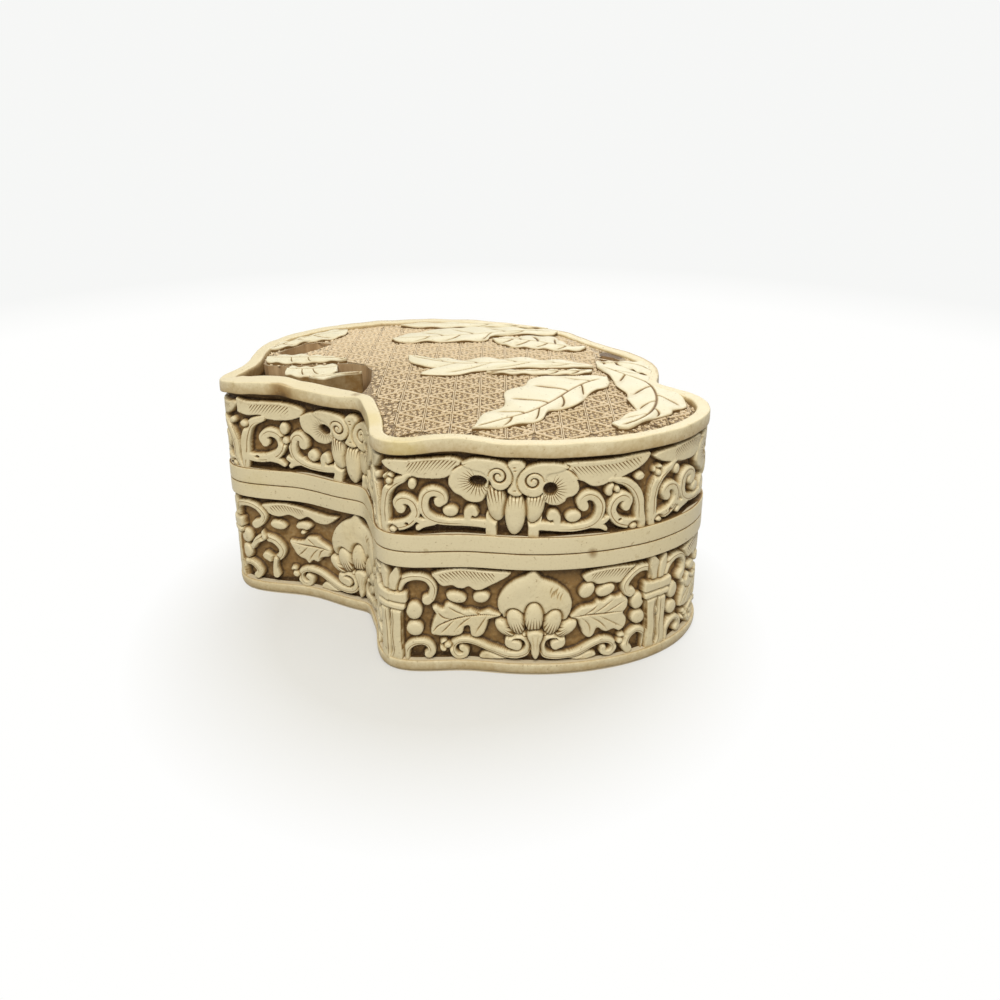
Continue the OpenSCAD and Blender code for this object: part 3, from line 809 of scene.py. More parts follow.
class Carving:
    """One panel's relief, in millimetres above the ground, with its stain, which also holds painted
    shade, and its hatching.
    """

    def __init__(self, s_range, z_range, step, seed):
        self.step = step
        self.chance = np.random.default_rng(seed)
        self.s = np.arange(s_range[0], s_range[1] + step / 2, step)
        self.z = np.arange(z_range[0], z_range[1] + step / 2, step)
        flat = np.meshgrid(self.s, self.z)
        self.S, self.Z = [f + self.waver(f.shape) for f in flat]
        self.height, self.stain, self.phase, self.ink = np.zeros((4, *self.S.shape))

    def waver(self, shape):
        """Small smooth wanderings, because the master was cut by hand."""
        lumps = blurred(self.chance.normal(size=shape), WAVER_REACH / self.step)
        return lumps * WAVER / lumps.std()

    def window(self, points, margin):
        low = np.min(points, axis=0) - margin
        high = np.max(points, axis=0) + margin
        columns = slice(*np.searchsorted(self.s, (low[0], high[0])))
        rows = slice(*np.searchsorted(self.z, (low[1], high[1])))
        return rows, columns

    def lay(self, win, d, body, soft=0.12, moat=MOAT, cut=CUT):
        """Sets a raised body where d is negative, with a steep side and a groove round it."""
        groove = np.where(d > 0, np.exp(-(d / moat) ** 2), 1.0)
        under = self.height[win] * (1 - cut * groove)
        share = 1 - ease(d, -soft, soft)
        self.height[win] = under * (1 - share) + body * share
        self.stain[win] = self.stain[win] * (1 - share)
        self.ink[win] = self.ink[win] * (1 - share)

    def oval(self, middle, across, up, turn=0, top=2.0, edge=1.6):
        """A bead, bud or petal."""
        win = self.window(np.array([middle]), max(across, up) + 1.2)
        a = math.radians(turn)
        x = self.S[win] - middle[0]
        y = self.Z[win] - middle[1]
        u = (x * math.cos(a) + y * math.sin(a)) / across
        v = (y * math.cos(a) - x * math.sin(a)) / up
        q = np.hypot(u, v)
        d = q * (q - 1) / (np.hypot(u / across, v / up) + 1e-9)
        self.lay(win, d, edge + (top - edge) * np.clip(1 - q ** 4, 0, 1))
        return win, u, v, d

    def track(self, points, widths, win):
        """For each point: distance outside a tapering line, share along it, place across it."""
        line = flow(points, steps=10)
        share = np.linspace(0, 1, len(line))
        half = np.interp(share, np.linspace(0, 1, len(widths)), widths) / 2
        x = self.S[win].ravel()[:, None] - line[:, 0]
        y = self.Z[win].ravel()[:, None] - line[:, 1]
        gap = np.hypot(x, y) - half
        best = np.argmin(gap, axis=1)
        pick = np.arange(len(best))
        ahead = np.gradient(line, axis=0)[best]
        side = (ahead[:, 0] * y[pick, best] - ahead[:, 1] * x[pick, best]) / np.hypot(*ahead.T)
        shape = self.S[win].shape
        return [f.reshape(shape) for f in (gap[pick, best], share[best], side / half[best])]

    def band(self, points, widths, top=2.0, edge=1.8, lines=(), cut=CUT):
        """A scroll: a tapering ribbon along a line, with lines scored along it."""
        win = self.window(points, max(widths) / 2 + 1.2)
        d, share, side = self.track(points, widths, win)
        body = edge + (top - edge) * np.clip(1 - np.abs(side) ** 6, 0, 1)
        self.lay(win, d, np.maximum(body, self.height[win]) if cut == 0 else body, cut=cut)
        for place_across in lines:
            mask = (d < -0.05) * ease(share, 0.02, 0.2) * (1 - ease(share, 0.75, 0.98))
            self.score(win, mask, (side - place_across) * LINE_SPREAD, share=0.2)

    def patch(self, points, top=1.9, edge=1.5, reach=0.6, moat=MOAT, cut=CUT):
        """A leaf, feather or shell: a closed outline with a rounded shoulder."""
        win = self.window(points, 1.4)
        spots = np.column_stack([self.S[win].ravel(), self.Z[win].ravel()])
        line = flow(points, closed=True)
        gap = np.min(np.hypot(spots[:, :1] - line[:, 0], spots[:, 1:] - line[:, 1]), axis=1)
        d = np.where(within(spots, line), -gap, gap).reshape(self.S[win].shape)
        rise = np.clip(-d / reach, 0, 1)
        body = edge + (top - edge) * np.sqrt(1 - (1 - rise) ** 2)
        body = np.maximum(body, self.height[win]) if cut == 0 else body
        self.lay(win, d, body, moat=moat, cut=cut)
        return win, d

    def score(self, win, mask, phase, share=0.5):
        """Marks strokes where the phase passes a whole number; they taper with the mask."""
        free = (self.ink[win] < 0.01) | (mask > 0.01)
        self.phase[win] = np.where(free, phase, self.phase[win])
        self.ink[win] = np.maximum(self.ink[win], share * mask)

    def nick(self, points, width=0.34, depth=0.4, stain=0.85):
        """Cuts one tapering line."""
        win = self.window(points, width + 0.4)
        d = self.track(points, (0.3 * width, width, width, 0.3 * width), win)[0]
        cut = ease(-d, -0.08, 0.1) * (self.height[win] > 0.5)
        self.height[win] -= depth * cut
        self.stain[win] = np.maximum(self.stain[win], stain * cut)

    def pit(self, middle, across, up):
        """A deep hole."""
        win = self.window(np.array([middle]), max(across, up) + 1.0)
        q = np.hypot((self.S[win] - middle[0]) / across, (self.Z[win] - middle[1]) / up)
        share = 1 - ease(q, 0.88, 1.08)
        self.height[win] = self.height[win] * (1 - share)
        self.stain[win] = np.maximum(self.stain[win], share)

    def shade(self, high):
        """Painted shade: darkens the ground from the foot of the map up to a height, where a dark gap
        lies between the band and the motifs above.
        """
        low = self.z[0]
        inside = ease(self.Z, low - 0.3, low + 0.3) * (1 - ease(self.Z, high - 0.3, high + 0.3))
        self.stain = np.maximum(self.stain, inside * (self.height < 0.6))

    def finish(self, low_edge, high_edge, ground):
        """Adds the knife's small unevenness and works out the patina, with painted shade beside raised
        edges and near the foot and top of the map, next to the bands and the rim.
        """
        lumps = self.chance.normal(size=self.height.shape)
        rough = blurred(lumps, ROUGH_REACH)
        swell = blurred(lumps, SWELL_REACH)
        raised = ease(self.height, 0.2, 1.0)
        self.height += rough * (0.34 - 0.24 * raised) + swell * 0.6 * raised
        self.height = blurred(self.height, SOFTEN)
        depth = np.clip(1 - self.height / GROUND_DEEP, 0, 1)
        # The ground darkens beside raised edges: patina that gathers there, and painted shade.
        near = np.clip((blurred(self.height, NEAR_REACH / self.step) - self.height) / NEAR_DEEP, 0, 1)
        wide = np.clip((blurred(self.height, WIDE_REACH / self.step) - self.height) / WIDE_DEEP, 0, 1)
        # Painted shade: the ground darkens towards the band at the foot and the band or rim at the top.
        shade_above_foot = np.exp(-np.clip(self.Z - low_edge, 0, None) / LOW_FADE)
        shade_below_top = np.exp(-np.clip(high_edge - self.Z, 0, None) / HIGH_FADE)
        edges = (shade_above_foot + shade_below_top) * (0.25 + 0.6 * depth)
        wear = swell * 0.9 * depth
        stain_and_crevice_shade = NEAR_SHARE * near + WIDE_SHARE * wide + STAIN_AND_SHADE_SHARE * self.stain
        self.patina = np.clip(ground * depth + stain_and_crevice_shade + edges + wear, 0, 1)
        return self

    def sample(self, s, z):
        """Height, patina, phase and ink at any drawn points."""
        i = np.clip((s - self.s[0]) / self.step, 0, len(self.s) - 1.001)
        j = np.clip((z - self.z[0]) / self.step, 0, len(self.z) - 1.001)
        a = i.astype(int)
        b = j.astype(int)
        fi = i - a
        fj = j - b
        found = []
        for field in (self.height, self.patina, self.phase, self.ink):
            low = field[b, a] * (1 - fi) + field[b, a + 1] * fi
            high = field[b + 1, a] * (1 - fi) + field[b + 1, a + 1] * fi
            found.append(low * (1 - fj) + high * fj)
        return found


print("carving kit ready")

# %% [markdown]
# ## The tub's panels
# The front panel shows a peach behind a lotus, with a leaf to each side, scrolls at the foot,
# feathers along the top, and a bound pair of posts at each end. The panel on the left is like
# it, but its left half is drawn differently. The lists below are the corners of those motifs,
# measured along the wall. What lies behind is laid first.

# %% Shape the tub's motifs
FINE = 0.14
PETAL_LINES = 9
SWEEP_WIDTHS = (2.4, 1.8, 1.7, 1.8, 1.9, 1.8, 1.7, 1.6, 1.5, 1.5, 1.6, 1.6, 1.6, 1.5, 1.6)
ARCH_WIDTHS = (2.8, 2.3, 1.8, 1.6, 1.6, 1.7, 1.9, 2.4)
FOOT_WIDTHS = (1.9, 1.7, 1.6, 1.8, 2.2)


def tier(c, s, half, low, high, flare):
    """One tier of a collar, with ends that turn up by the flare."""
    middle = (low + high) / 2
    bottom = [(s + half * f, low + 0.15 * abs(f)) for f in (-1, -0.5, 0, 0.5, 1)]
    upper = [(s + half * f, high + flare * f * f) for f in (1, 0.6, 0, -0.6, -1)]
    rim = [(s + half + 0.3, middle), *upper, (s - half - 0.3, middle)]
    c.patch(bottom + rim, top=2.3, edge=1.95, reach=0.4)


def posts(c, s):
    """A bound pair of posts with blades that sprout above the collar."""
    for side in (-1, 1):
        blade = [(0.9, 20.0), (1.1, 22.4), (1.5, 24.6), (2.2, 26.8)]
        c.band([(s + x * side, z) for x, z in blade], (1.6, 1.9, 2.6, 1.0), top=1.9)
    for side in (-1, 1):
        post = [(s + 1.58 * side, z) for z in (1.6, 8.0, 13.0, 18.0)]
        c.band(post, (2.9, 2.75, 2.75, 2.9), top=2.15, edge=1.9, lines=(0.5 * side,))
    tier(c, s, 3.6, 16.4, 18.5, 0.1)
    tier(c, s, 4.1, 18.3, 20.5, 0.5)


def feather(c, corners, spine, reach, lean, pitch, span):
    """A feather with slanting cuts that hang from a line near its upper edge."""
    win, d = c.patch(corners, top=1.85, edge=1.5, reach=0.4)
    line = flow(spine, steps=10)
    drop = np.interp(c.S[win], line[:, 0], line[:, 1]) - c.Z[win]
    hang = ease(drop, -0.1, 0.1) * np.clip(1.1 - drop / (1.3 * reach), 0, 1) * (d < -0.1)
    keep = ease(c.S[win], span[0], span[0] + 0.6) * (1 - ease(c.S[win], span[1] - 0.6, span[1]))
    c.score(win, hang * keep, (c.S[win] - lean * drop) / pitch)
    c.nick(spine, width=0.2, depth=0.2, stain=0.7)


def veined_leaf(c, corners, rib, veins):
    c.patch(corners, top=1.9, edge=1.5, reach=0.6)
    c.nick(rib, width=0.4, depth=0.5, stain=1.0)
    for vein in veins:
        c.nick(vein, width=0.28, depth=0.4, stain=0.9)


def petal(c, middle, across, up, turn, top=2.3, root=0.3):
    """A lotus petal with fine lines at its root."""
    win, u, v, d = c.oval(middle, across, up, turn, top=top, edge=1.6)
    mask = (d < -0.08) * np.clip((root - v - 0.1) / 0.8, 0, 1)
    c.score(win, mask, u * PETAL_LINES / 2 / (1.25 - 0.45 * v), share=0.6)


def draw_half(c, half, cut=CUT):
    """The leaf, scrolls, fins and buds on one side of a panel."""
    if "leaf" in half:
        veined_leaf(c, *half["leaf"])
    if "fin" in half:
        c.patch(half["fin"], top=1.7, edge=1.2, reach=0.5)
    for points, widths, lines in half["bands"]:
        c.band(points, widths, lines=lines, cut=cut)
    for s, z, across, up, turn in half["buds"]:
        c.oval((s, z), across, up, turn)


print("motifs for the tub ready")

# %% List the tub's motifs
PEACH = [
    (30.4, 27.3), (28.4, 25.7), (25.9, 24.3), (23.7, 22), (22.5, 19.2), (22.6, 17), (23.6, 15), (26, 13.4),
    (31, 12.6), (36, 13.4), (38.2, 15), (39.1, 17.3), (39.1, 19.2), (37.9, 21.7), (35.4, 23.8), (32.3, 25),
]
LEFT_SWEEP = [
    (26.8, 7.6), (25, 8.2), (25.5, 9.9), (27.5, 10.4), (29.1, 9.5), (29.6, 7.6), (28.7, 5.9), (26.8, 5.2),
    (24.3, 5.4), (21.5, 6.3), (18.4, 7.6), (16.2, 8.2), (14, 8.1), (12.5, 7), (12.3, 5.2), (13.4, 3.9),
    (15, 4.2), (15.3, 5.5), (14.5, 6.1),
]
RIGHT_SWEEP = [
    (35.6, 7.9), (37, 8.6), (36.5, 10.2), (34.4, 10.6), (32.7, 9.4), (32.3, 7.2), (33.4, 5.4), (36.2, 4.9),
    (39.6, 5.3), (42.3, 6.3), (44.8, 7.6), (46.8, 8.1), (48.7, 7.3), (49.5, 5.6), (48.5, 4.2), (46.9, 4.6),
    (46.8, 5.8),
]
LEFT_FIN = [(27.2, 4.4), (23.4, 5.0), (21.2, 5.5), (19.2, 5.1), (18.2, 3.7), (20, 3.4), (23.6, 3.8)]
RIGHT_FIN = [(35.4, 4.2), (39, 4.6), (42.6, 5.2), (44.6, 5.0), (45.2, 3.9), (43, 3.4), (39, 3.7)]
FRONT_LEFT = {
    "feather": ([
        (7.9, 25.4), (12.3, 26.9), (17.3, 26.6), (21.8, 26.5), (25.4, 26.4), (22.9, 24.2), (20.7, 22.8),
        (18.7, 21.7), (17.3, 21.6), (16.1, 22.3), (14.9, 21.8), (13.4, 22), (12.2, 22.7), (10.1, 22.5),
        (8.7, 23.7),
    ], [(8.8, 25.3), (13, 26.3), (17, 26.1), (22.4, 26)], 2.0, 0.8, 0.78, (9.2, 22)),
    "leaf": ([
        (23.2, 15.3), (21.2, 16.2), (20.1, 16.6), (18.2, 16), (16.2, 16.5), (14.8, 16.2), (13.4, 17.1),
        (11.7, 18.1), (10.7, 17.8), (10.1, 16.7), (8.7, 17.4), (7.8, 16.9), (8.6, 15.3), (8, 13.7),
        (7.3, 10.6), (8.6, 9.8), (10.7, 9.5), (13.2, 9.3), (14.6, 10.1), (15, 11.7), (15.9, 12),
        (16.3, 10.3), (16.7, 9.1), (17.9, 9.2), (19.3, 10.3), (20, 12.6), (20.4, 14.2),
    ], [(23.2, 15.3), (18.4, 15.4), (13.4, 14.2), (9.4, 12.6), (7.9, 11)], [
        [(20, 15.5), (18.6, 12.8), (17.4, 10.2)], [(16.6, 15), (14.6, 13), (12.6, 10.6)],
        [(13, 14.1), (11, 11.8), (9.6, 10.3)], [(15.6, 14.8), (13.2, 15.9), (11.3, 17.3)],
        [(12.2, 13.8), (10.2, 14.6), (8.8, 16.3)], [(18.6, 15.4), (17.2, 16)],
    ]),
    "fin": LEFT_FIN,
    "bands": [
        ([(-0.6, 20.6), (0.2, 22.6), (1.8, 24.3), (4.2, 25), (6.6, 24.3), (8, 22.2), (7.7, 19.9), (6.7, 19)],
         ARCH_WIDTHS, (0.35,)),
        ([(1.2, 2.6), (1.7, 5.9), (3.1, 7.6), (5.1, 8.1), (6.7, 7.3), (7.3, 5.5), (6.6, 4.4)],
         FOOT_WIDTHS, (-0.3,)),
        (LEFT_SWEEP, SWEEP_WIDTHS, (0.3,)),
    ],
    "buds": [
        (13.1, 19.5, 2.3, 1.3, -12), (18.7, 19.8, 1.9, 1.3, 10), (3.7, 16.1, 1.9, 2.2, 0),
        (3.7, 11.5, 1.95, 1.8, 0), (10.2, 7.6, 0.9, 0.8, 30), (10, 6, 0.9, 0.8, -30),
        (11.1, 6.8, 0.9, 0.7, 0),
    ],
}
BOTH_RIGHT = {
    "feather": ([
        (41.4, 25.2), (43.4, 26.4), (46.8, 26.7), (51.8, 26.4), (55.1, 25.6), (53.4, 23.8), (51, 22.8),
        (48.6, 22.4), (46.2, 22.8), (44.2, 22.9), (42.4, 23.6),
    ], [(42.6, 25.7), (46.8, 26.2), (51.6, 25.9), (54.4, 25.2)], 1.7, -0.8, 0.78, (43, 54)),
    "leaf": ([
        (39.1, 15.6), (41.2, 17.3), (44, 17.6), (45.2, 18.6), (46.6, 18.3), (48.2, 19.3), (49.8, 18.9),
        (51.6, 19.3), (52.5, 17.6), (52.3, 15.8), (51.4, 14.4), (52.2, 12.8), (51.9, 11), (50.4, 9.9),
        (49, 10.6), (47.4, 10.2), (46.2, 10.6), (45, 11.4),
        (44.3, 9.8), (43.2, 9.1), (41.9, 10.1), (41.2, 12), (40.4, 13.7), (39.1, 14.8),
    ], [(39.2, 15.2), (43, 15.4), (47.5, 15.1), (52, 14.8)], [
        [(43.6, 15.3), (46.6, 17), (49, 18.7)], [(41.6, 15.4), (43.6, 16.4), (45, 17.6)],
        [(46.6, 15.2), (49.2, 16.4), (51.6, 17.6)], [(44.6, 15.2), (48.2, 12.8), (51.6, 10.6)],
        [(42.6, 15.3), (45.6, 13), (47.6, 10.6)], [(41, 15.2), (43, 12.6), (43.4, 9.8)],
    ]),
    "fin": RIGHT_FIN,
    "bands": [
        ([(59.6, 20.8), (59.2, 23), (57.6, 24.6), (55.2, 24.9), (53, 23.7), (51.7, 21.8), (52, 20.1),
          (53, 19.4)], ARCH_WIDTHS, (-0.35,)),
        ([(57.9, 2.6), (57.6, 6.7), (56.2, 8.6), (54.6, 9), (52.8, 7.6), (52.3, 5.5), (53.2, 4.2)],
         FOOT_WIDTHS, (0.3,)),
        (RIGHT_SWEEP, SWEEP_WIDTHS, (-0.3,)),
    ],
    "buds": [
        (42.5, 21.4, 2.1, 1.6, 38), (47, 21.0, 2.3, 1.35, 18), (55.1, 16.5, 1.8, 2.1, 0),
        (55.4, 12.2, 1.95, 1.7, 0), (51.2, 8.3, 0.9, 0.8, 0), (50.9, 6.9, 0.8, 0.7, 30),
    ],
}
SIDE_LEFT = {
    "feather": ([
        (3.4, 25.3), (8.2, 26.4), (12, 26), (16.4, 25.1), (20.4, 24.8), (24.4, 25.2), (23.6, 24),
        (20.9, 22.4), (18.1, 22.2), (15.8, 23.3), (13.4, 22.3), (10.8, 23.3), (7.8, 22.6), (5, 23.3),
    ], [(4.6, 25.1), (8.4, 25.9), (12.2, 25.5), (17, 24.7), (23, 24.8)], 1.7, 0.7, 0.8, (5.4, 15)),
    "leaf": ([
        (21.8, 15.8), (18.9, 17), (17.4, 18), (15, 17.6), (13.8, 16.4), (12, 16), (10, 16), (10.6, 14.2),
        (11.6, 12.4), (12.8, 11.4), (14, 11), (15, 10), (16.2, 11.2), (17.8, 11), (18.8, 12.4), (20.2, 13),
        (21.6, 13.6),
    ], [(21.6, 15.2), (18.4, 15.3), (14.4, 15.3), (10.4, 15.7)], [
        [(18.6, 15.3), (16.4, 13.2), (15, 10.8)], [(15.4, 15.3), (13.6, 13.4), (12.2, 12)],
        [(17.4, 15.4), (15.8, 16.6), (15, 17.4)], [(20, 15.3), (18.6, 14), (17.8, 11.8)],
    ]),
    "fin": LEFT_FIN,
    "bands": [
        ([(-5.6, 20.6), (-4.8, 23.4), (-2.8, 25.1), (-0.2, 25.5), (2.4, 24.5), (3.8, 22.4), (3, 20.6),
          (1.4, 19.7)], ARCH_WIDTHS, (0.35,)),
        ([(-5.2, 2.6), (-4.6, 6.6), (-2.4, 8.2), (-0.2, 7.8), (1, 6), (0.2, 4.6)], FOOT_WIDTHS, (-0.3,)),
        ([(-0.4, 13), (1, 15), (3.4, 16.1), (6, 15.6), (7.7, 13.4), (7.2, 11.2), (5.2, 9.8), (3.4, 10.8)],
         (1.5, 1.8, 1.9, 1.9, 1.9, 1.9, 1.9, 2.3), (0.3,)),
        ([(5.8, 10), (5.4, 7.6), (5.6, 5.4)], (1.3, 1.4, 2), ()),
        ([(3.2, 16.2), (2.8, 17.6)], (1.3, 0.6), ()),
        (LEFT_SWEEP, SWEEP_WIDTHS, (0.3,)),
    ],
    "buds": [
        (7.5, 20, 2.2, 1.2, -8), (14.2, 20.5, 2.1, 1.1, 8), (-2.2, 15.8, 1.8, 2.1, 0),
        (-2.6, 11.2, 1.8, 2, 0), (10.6, 7.6, 0.9, 0.8, 30), (11, 6.2, 0.9, 0.8, -30),
        (13.9, 18.8, 0.7, 0.5, 0),
    ],
}
print("motifs listed for three half panels")

# %% Draw the tub's panels
TUB_LOW = 2.6
TUB_HIGH = 28.2
TUB_FOOT = 3.2
TUB_TOP = 27.6
TUB_GROUND = 0.62
FRONT_TUB = (-2.2, 30.4, 60.6)
SIDE_TUB = (-6.9, 30.4, 60.6)
CUP = [
    (29.2, 11.0), (30.0, 11.6), (31.0, 11.8), (32.0, 11.6), (32.8, 11.0), (32.6, 9.6), (32.0, 8.0),
    (31.9, 5.6), (31.0, 4.2), (30.1, 5.6), (30.0, 8.0), (29.4, 9.6),
]
CUP_LINES = ([(30.3, 10.8), (30.6, 8.6), (30.7, 6.2)], [(31.7, 10.8), (31.4, 8.6), (31.3, 6.2)])
PEACH_MARKS = ((35.4, 22.6), (36.2, 21.9), (34.6, 23.2), (35.9, 23.0), (34.9, 22.2), (36.9, 21.6))
TUB_PETALS = [
    ((24.1, 12.2), 1.6, 2.8, 52), ((38.0, 12.3), 1.6, 2.8, -52), ((26.6, 13.9), 1.95, 3.3, 19),
    ((34.8, 14.0), 1.95, 3.3, -19), ((30.6, 15.1), 2.15, 3.95, 0, 2.4),
]


def tub_panel(left, right, drawn, seed):
    """A whole panel from its two halves; the peach and the lotus are common to all."""
    c = Carving((drawn[0], drawn[2]), (TUB_LOW, TUB_HIGH), FINE, seed)
    for half in (left, right):
        feather(c, *half["feather"])
    c.patch(PEACH, top=2.2, edge=1.45, reach=3.0)
    for s, z in PEACH_MARKS:
        c.nick([(s, z), (s - 0.4, z - 0.8), (s - 0.5, z - 1.7)], width=0.22, depth=0.2, stain=0.9)
    for half in (left, right):
        draw_half(c, half)
    for s in (drawn[0], drawn[2]):
        posts(c, s)
    for row in TUB_PETALS:
        petal(c, *row)
    c.patch(CUP, top=2.4, edge=1.7, reach=0.7)
    for line in CUP_LINES:
        c.nick(line, width=0.22, depth=0.2, stain=0.7)
    return c.finish(TUB_FOOT, TUB_TOP, TUB_GROUND)


tub_front = tub_panel(FRONT_LEFT, BOTH_RIGHT, FRONT_TUB, 3)
tub_side = tub_panel(SIDE_LEFT, BOTH_RIGHT, SIDE_TUB, 4)
print("tub panels drawn on", tub_front.height.shape, "and", tub_side.height.shape, "cells")

# %% [markdown]
# ## Bending a panel onto the wall
# Each panel becomes a closed slab: a fine front that takes its height from the map, and a
# plain back inside the wall. The photograph shows the front panel and the left one. The four
# at the back are guesses: the same two maps, stretched to their width and a little coarser.

# %% Bend the tub's panels
RELIEF = 2.4
BACK_OUT = -3.4
COARSE = 0.21
SIDES_SEEN = (0, 5)
LIKE_THE_SIDE = (2, 4, 5)
BEHIND = {"patina": 1.0, "phase": 0.0, "ink": 0.0}


def grid_quads(grid):
    """The corners of every cell of a grid of point numbers."""
    corners_of = [grid[:-1, :-1], grid[:-1, 1:], grid[1:, 1:], grid[1:, :-1]]
    return np.stack(corners_of, axis=-1).reshape(-1, 4)


def slab_mesh(name, front, low_back, high_back, layers, finish):
    """A closed mesh from a grid of front points and two rows of back points."""
    rows, columns = front.shape[:2]
    grid = np.arange(rows * columns).reshape(rows, columns)
    low = rows * columns + np.arange(columns)
    high = low + columns
    faces = grid_quads(np.vstack([low, grid, high, low])).tolist()
    faces.append([*grid[:, 0], high[0], low[0]])
    faces.append([*grid[::-1, -1], low[-1], high[-1]])
    mesh = bpy.data.meshes.new(name)
    points = np.vstack([front.reshape(-1, 3), low_back, high_back]) * MM
    mesh.from_pydata(points.tolist(), [], faces)
    mesh.shade_smooth()
    for layer, value in BEHIND.items():
        write_layer(mesh, np.concatenate([np.ravel(layers[layer]), np.full(2 * columns, value)]), layer)
    mesh.materials.append(finish)
    return mesh


def bent_panel(name, body, relief, marks, drawn, step):
    """A frieze panel between the marks on the wall, from a drawn map."""
    s = np.linspace(marks[0], marks[-1], int((marks[-1] - marks[0]) / step) + 1)
    z = np.linspace(relief.z[0], relief.z[-1], int((relief.z[-1] - relief.z[0]) / step) + 1)
    S, Z = np.meshgrid(s, z)
    height, patina, phase, ink = relief.sample(np.interp(S, marks, drawn), Z)
    layers = {"patina": patina, "phase": phase, "ink": ink}
    front = np.stack([*on_wall(S, face(Z) + height - RELIEF), Z], axis=-1)
    x, y = on_wall(s, BACK_OUT)
    backs = [np.column_stack([x, y, np.full(len(s), level)]) for level in (z[0], z[-1])]
    mesh = slab_mesh(name, front, *backs, layers, carved_ivory)
    place(name, mesh, body, "cream_relief")


def panels_round(name, body, maps, ends, middles):
    """Six panels: the front, four at the back, and the one on the left."""
    (front, front_drawn), (side, side_drawn) = maps
    marks = [front_drawn[0], *np.linspace(front_drawn[2], GIRTH + ends[0], 5), GIRTH + ends[1]]
    for i in range(6):
        middle = (marks[i] + marks[i + 1]) / 2
        step = COARSE
        if i in SIDES_SEEN:
            middle = middles[SIDES_SEEN.index(i)]
            step = FINE
        relief, drawn = (side, side_drawn) if i in LIKE_THE_SIDE else (front, front_drawn)
        bent_panel(f"{name}_{i + 1}", body, relief, (marks[i], middle, marks[i + 1]), drawn, step)


TUB_MAPS = ((tub_front, FRONT_TUB), (tub_side, SIDE_TUB))
TUB_ENDS = (-67.3, FRONT_TUB[0])
TUB_MIDDLES = (FRONT_TUB[1], GIRTH - 29.2)
panels_round("tub_carving", "base", TUB_MAPS, TUB_ENDS, TUB_MIDDLES)

# %% [markdown]
# ## The lid's panels
# On the lid a stem like a spool stands between two spirals, with a shell lobe and a long feather on
# each side, three drooping petals below, and scrolls that stand on a bar. The same kit draws it.
# Here too the left panel has its own left half.

# %% List the lid's motifs
STEM_WIDTHS = (1.6, 2.0, 2.4, 2.5, 2.4, 2.8)
CURL_WIDTHS = (2.0, 2.3, 2.3, 2.2, 2.3, 2.4, 2.5, 2.4)
BAR_WIDTHS = (2.2, 1.9, 1.9, 2.1, 2.4, 2.3, 2.4, 2.6)
HOOK_WIDTHS = (1.5, 2.0, 2.2, 1.5)
FORK_WIDTHS = (1.8, 1.5, 1.3)
LEFT_SHELL = ([
    (15.4, 51.6), (13.7, 50.8), (12.3, 48.9), (12.1, 47), (13.2, 45.2), (14.6, 44.4), (15.8, 43.4),
    (17.6, 43), (19.2, 43.6), (20, 45.4), (20.4, 47.4), (20.4, 50), (18.6, 51.4),
], (18.2, 47.9), 1.75, 1.35, -1)
LEFT_SPIRAL = ([
    (14.8, 51.8), (17.2, 52.9), (20.6, 53), (23.6, 52.3), (25.2, 50.4), (25.4, 48.6), (24.4, 46.9),
    (22.8, 46.2), (21.2, 46.8), (20.4, 48.4), (19, 50), (16.8, 50.6),
], (22.4, 49.3), 2.2, 1)
LID_FRONT_LEFT = {
    "feather": ([
        (-2.9, 52), (0, 52.7), (5, 52.9), (10, 53.3), (13.6, 53.1), (15.4, 51.6), (13.4, 50), (11.4, 48.6),
        (8, 48.5), (4.4, 48.9), (1.4, 49.6), (-1.6, 50.7),
    ], [(2.6, 52.1), (6, 52.4), (10, 52.8), (14, 52.5)], 2.0, -0.9, 0.82, (3, 14.2)),
    "shell": LEFT_SHELL,
    "seam": [(12.9, 50.2), (14, 51.2), (15.9, 51.9)],
    "spiral": LEFT_SPIRAL,
    "bands": [
        ([(3.4, 49), (0.5, 47.3), (-1.6, 45), (-2.5, 42), (-2.5, 38.6), (-2.9, 35)], STEM_WIDTHS, (0.3,)),
        ([(-2, 37), (0.6, 37.2), (3.4, 38.4), (4.9, 40.6), (4.2, 43), (2.4, 43.7), (1, 42.8), (1.5, 41.5)],
         CURL_WIDTHS, (-0.3,)),
        ([(8.6, 38.6), (6.4, 38.5), (5.2, 39.1)], FORK_WIDTHS, ()),
        ([(8.6, 38.4), (6.4, 37.8), (5.4, 37.1)], FORK_WIDTHS, ()),
        ([(16, 38.6), (16.2, 40.4), (16.9, 41.2), (17.6, 40.4)], HOOK_WIDTHS, ()),
        ([(21.2, 38.1), (16.2, 38.2), (12.3, 38.3), (9.3, 38.8), (7.3, 40.2), (6.6, 42.5), (7.2, 44.7),
          (8.8, 45.5), (10.4, 44.9), (10.8, 43.6), (10.1, 43.1)], BAR_WIDTHS, (0.3,)),
        ([(21.3, 40), (21.1, 37.6), (21.2, 34.6)], (2.8, 2.4, 2.9), ()),
    ],
    "buds": [
        (12.4, 40.8, 1.75, 1.3, 0), (-1.9, 48.3, 0.9, 0.8, 30), (-0.8, 48.7, 0.8, 0.8, 0),
        (-1.1, 47.5, 0.8, 0.8, 0), (4.4, 47.3, 1, 1.3, 0), (-0.6, 36.2, 0.9, 0.7, 0),
    ],
    "pit": ((2.8, 38), 0.36, 0.3),
}
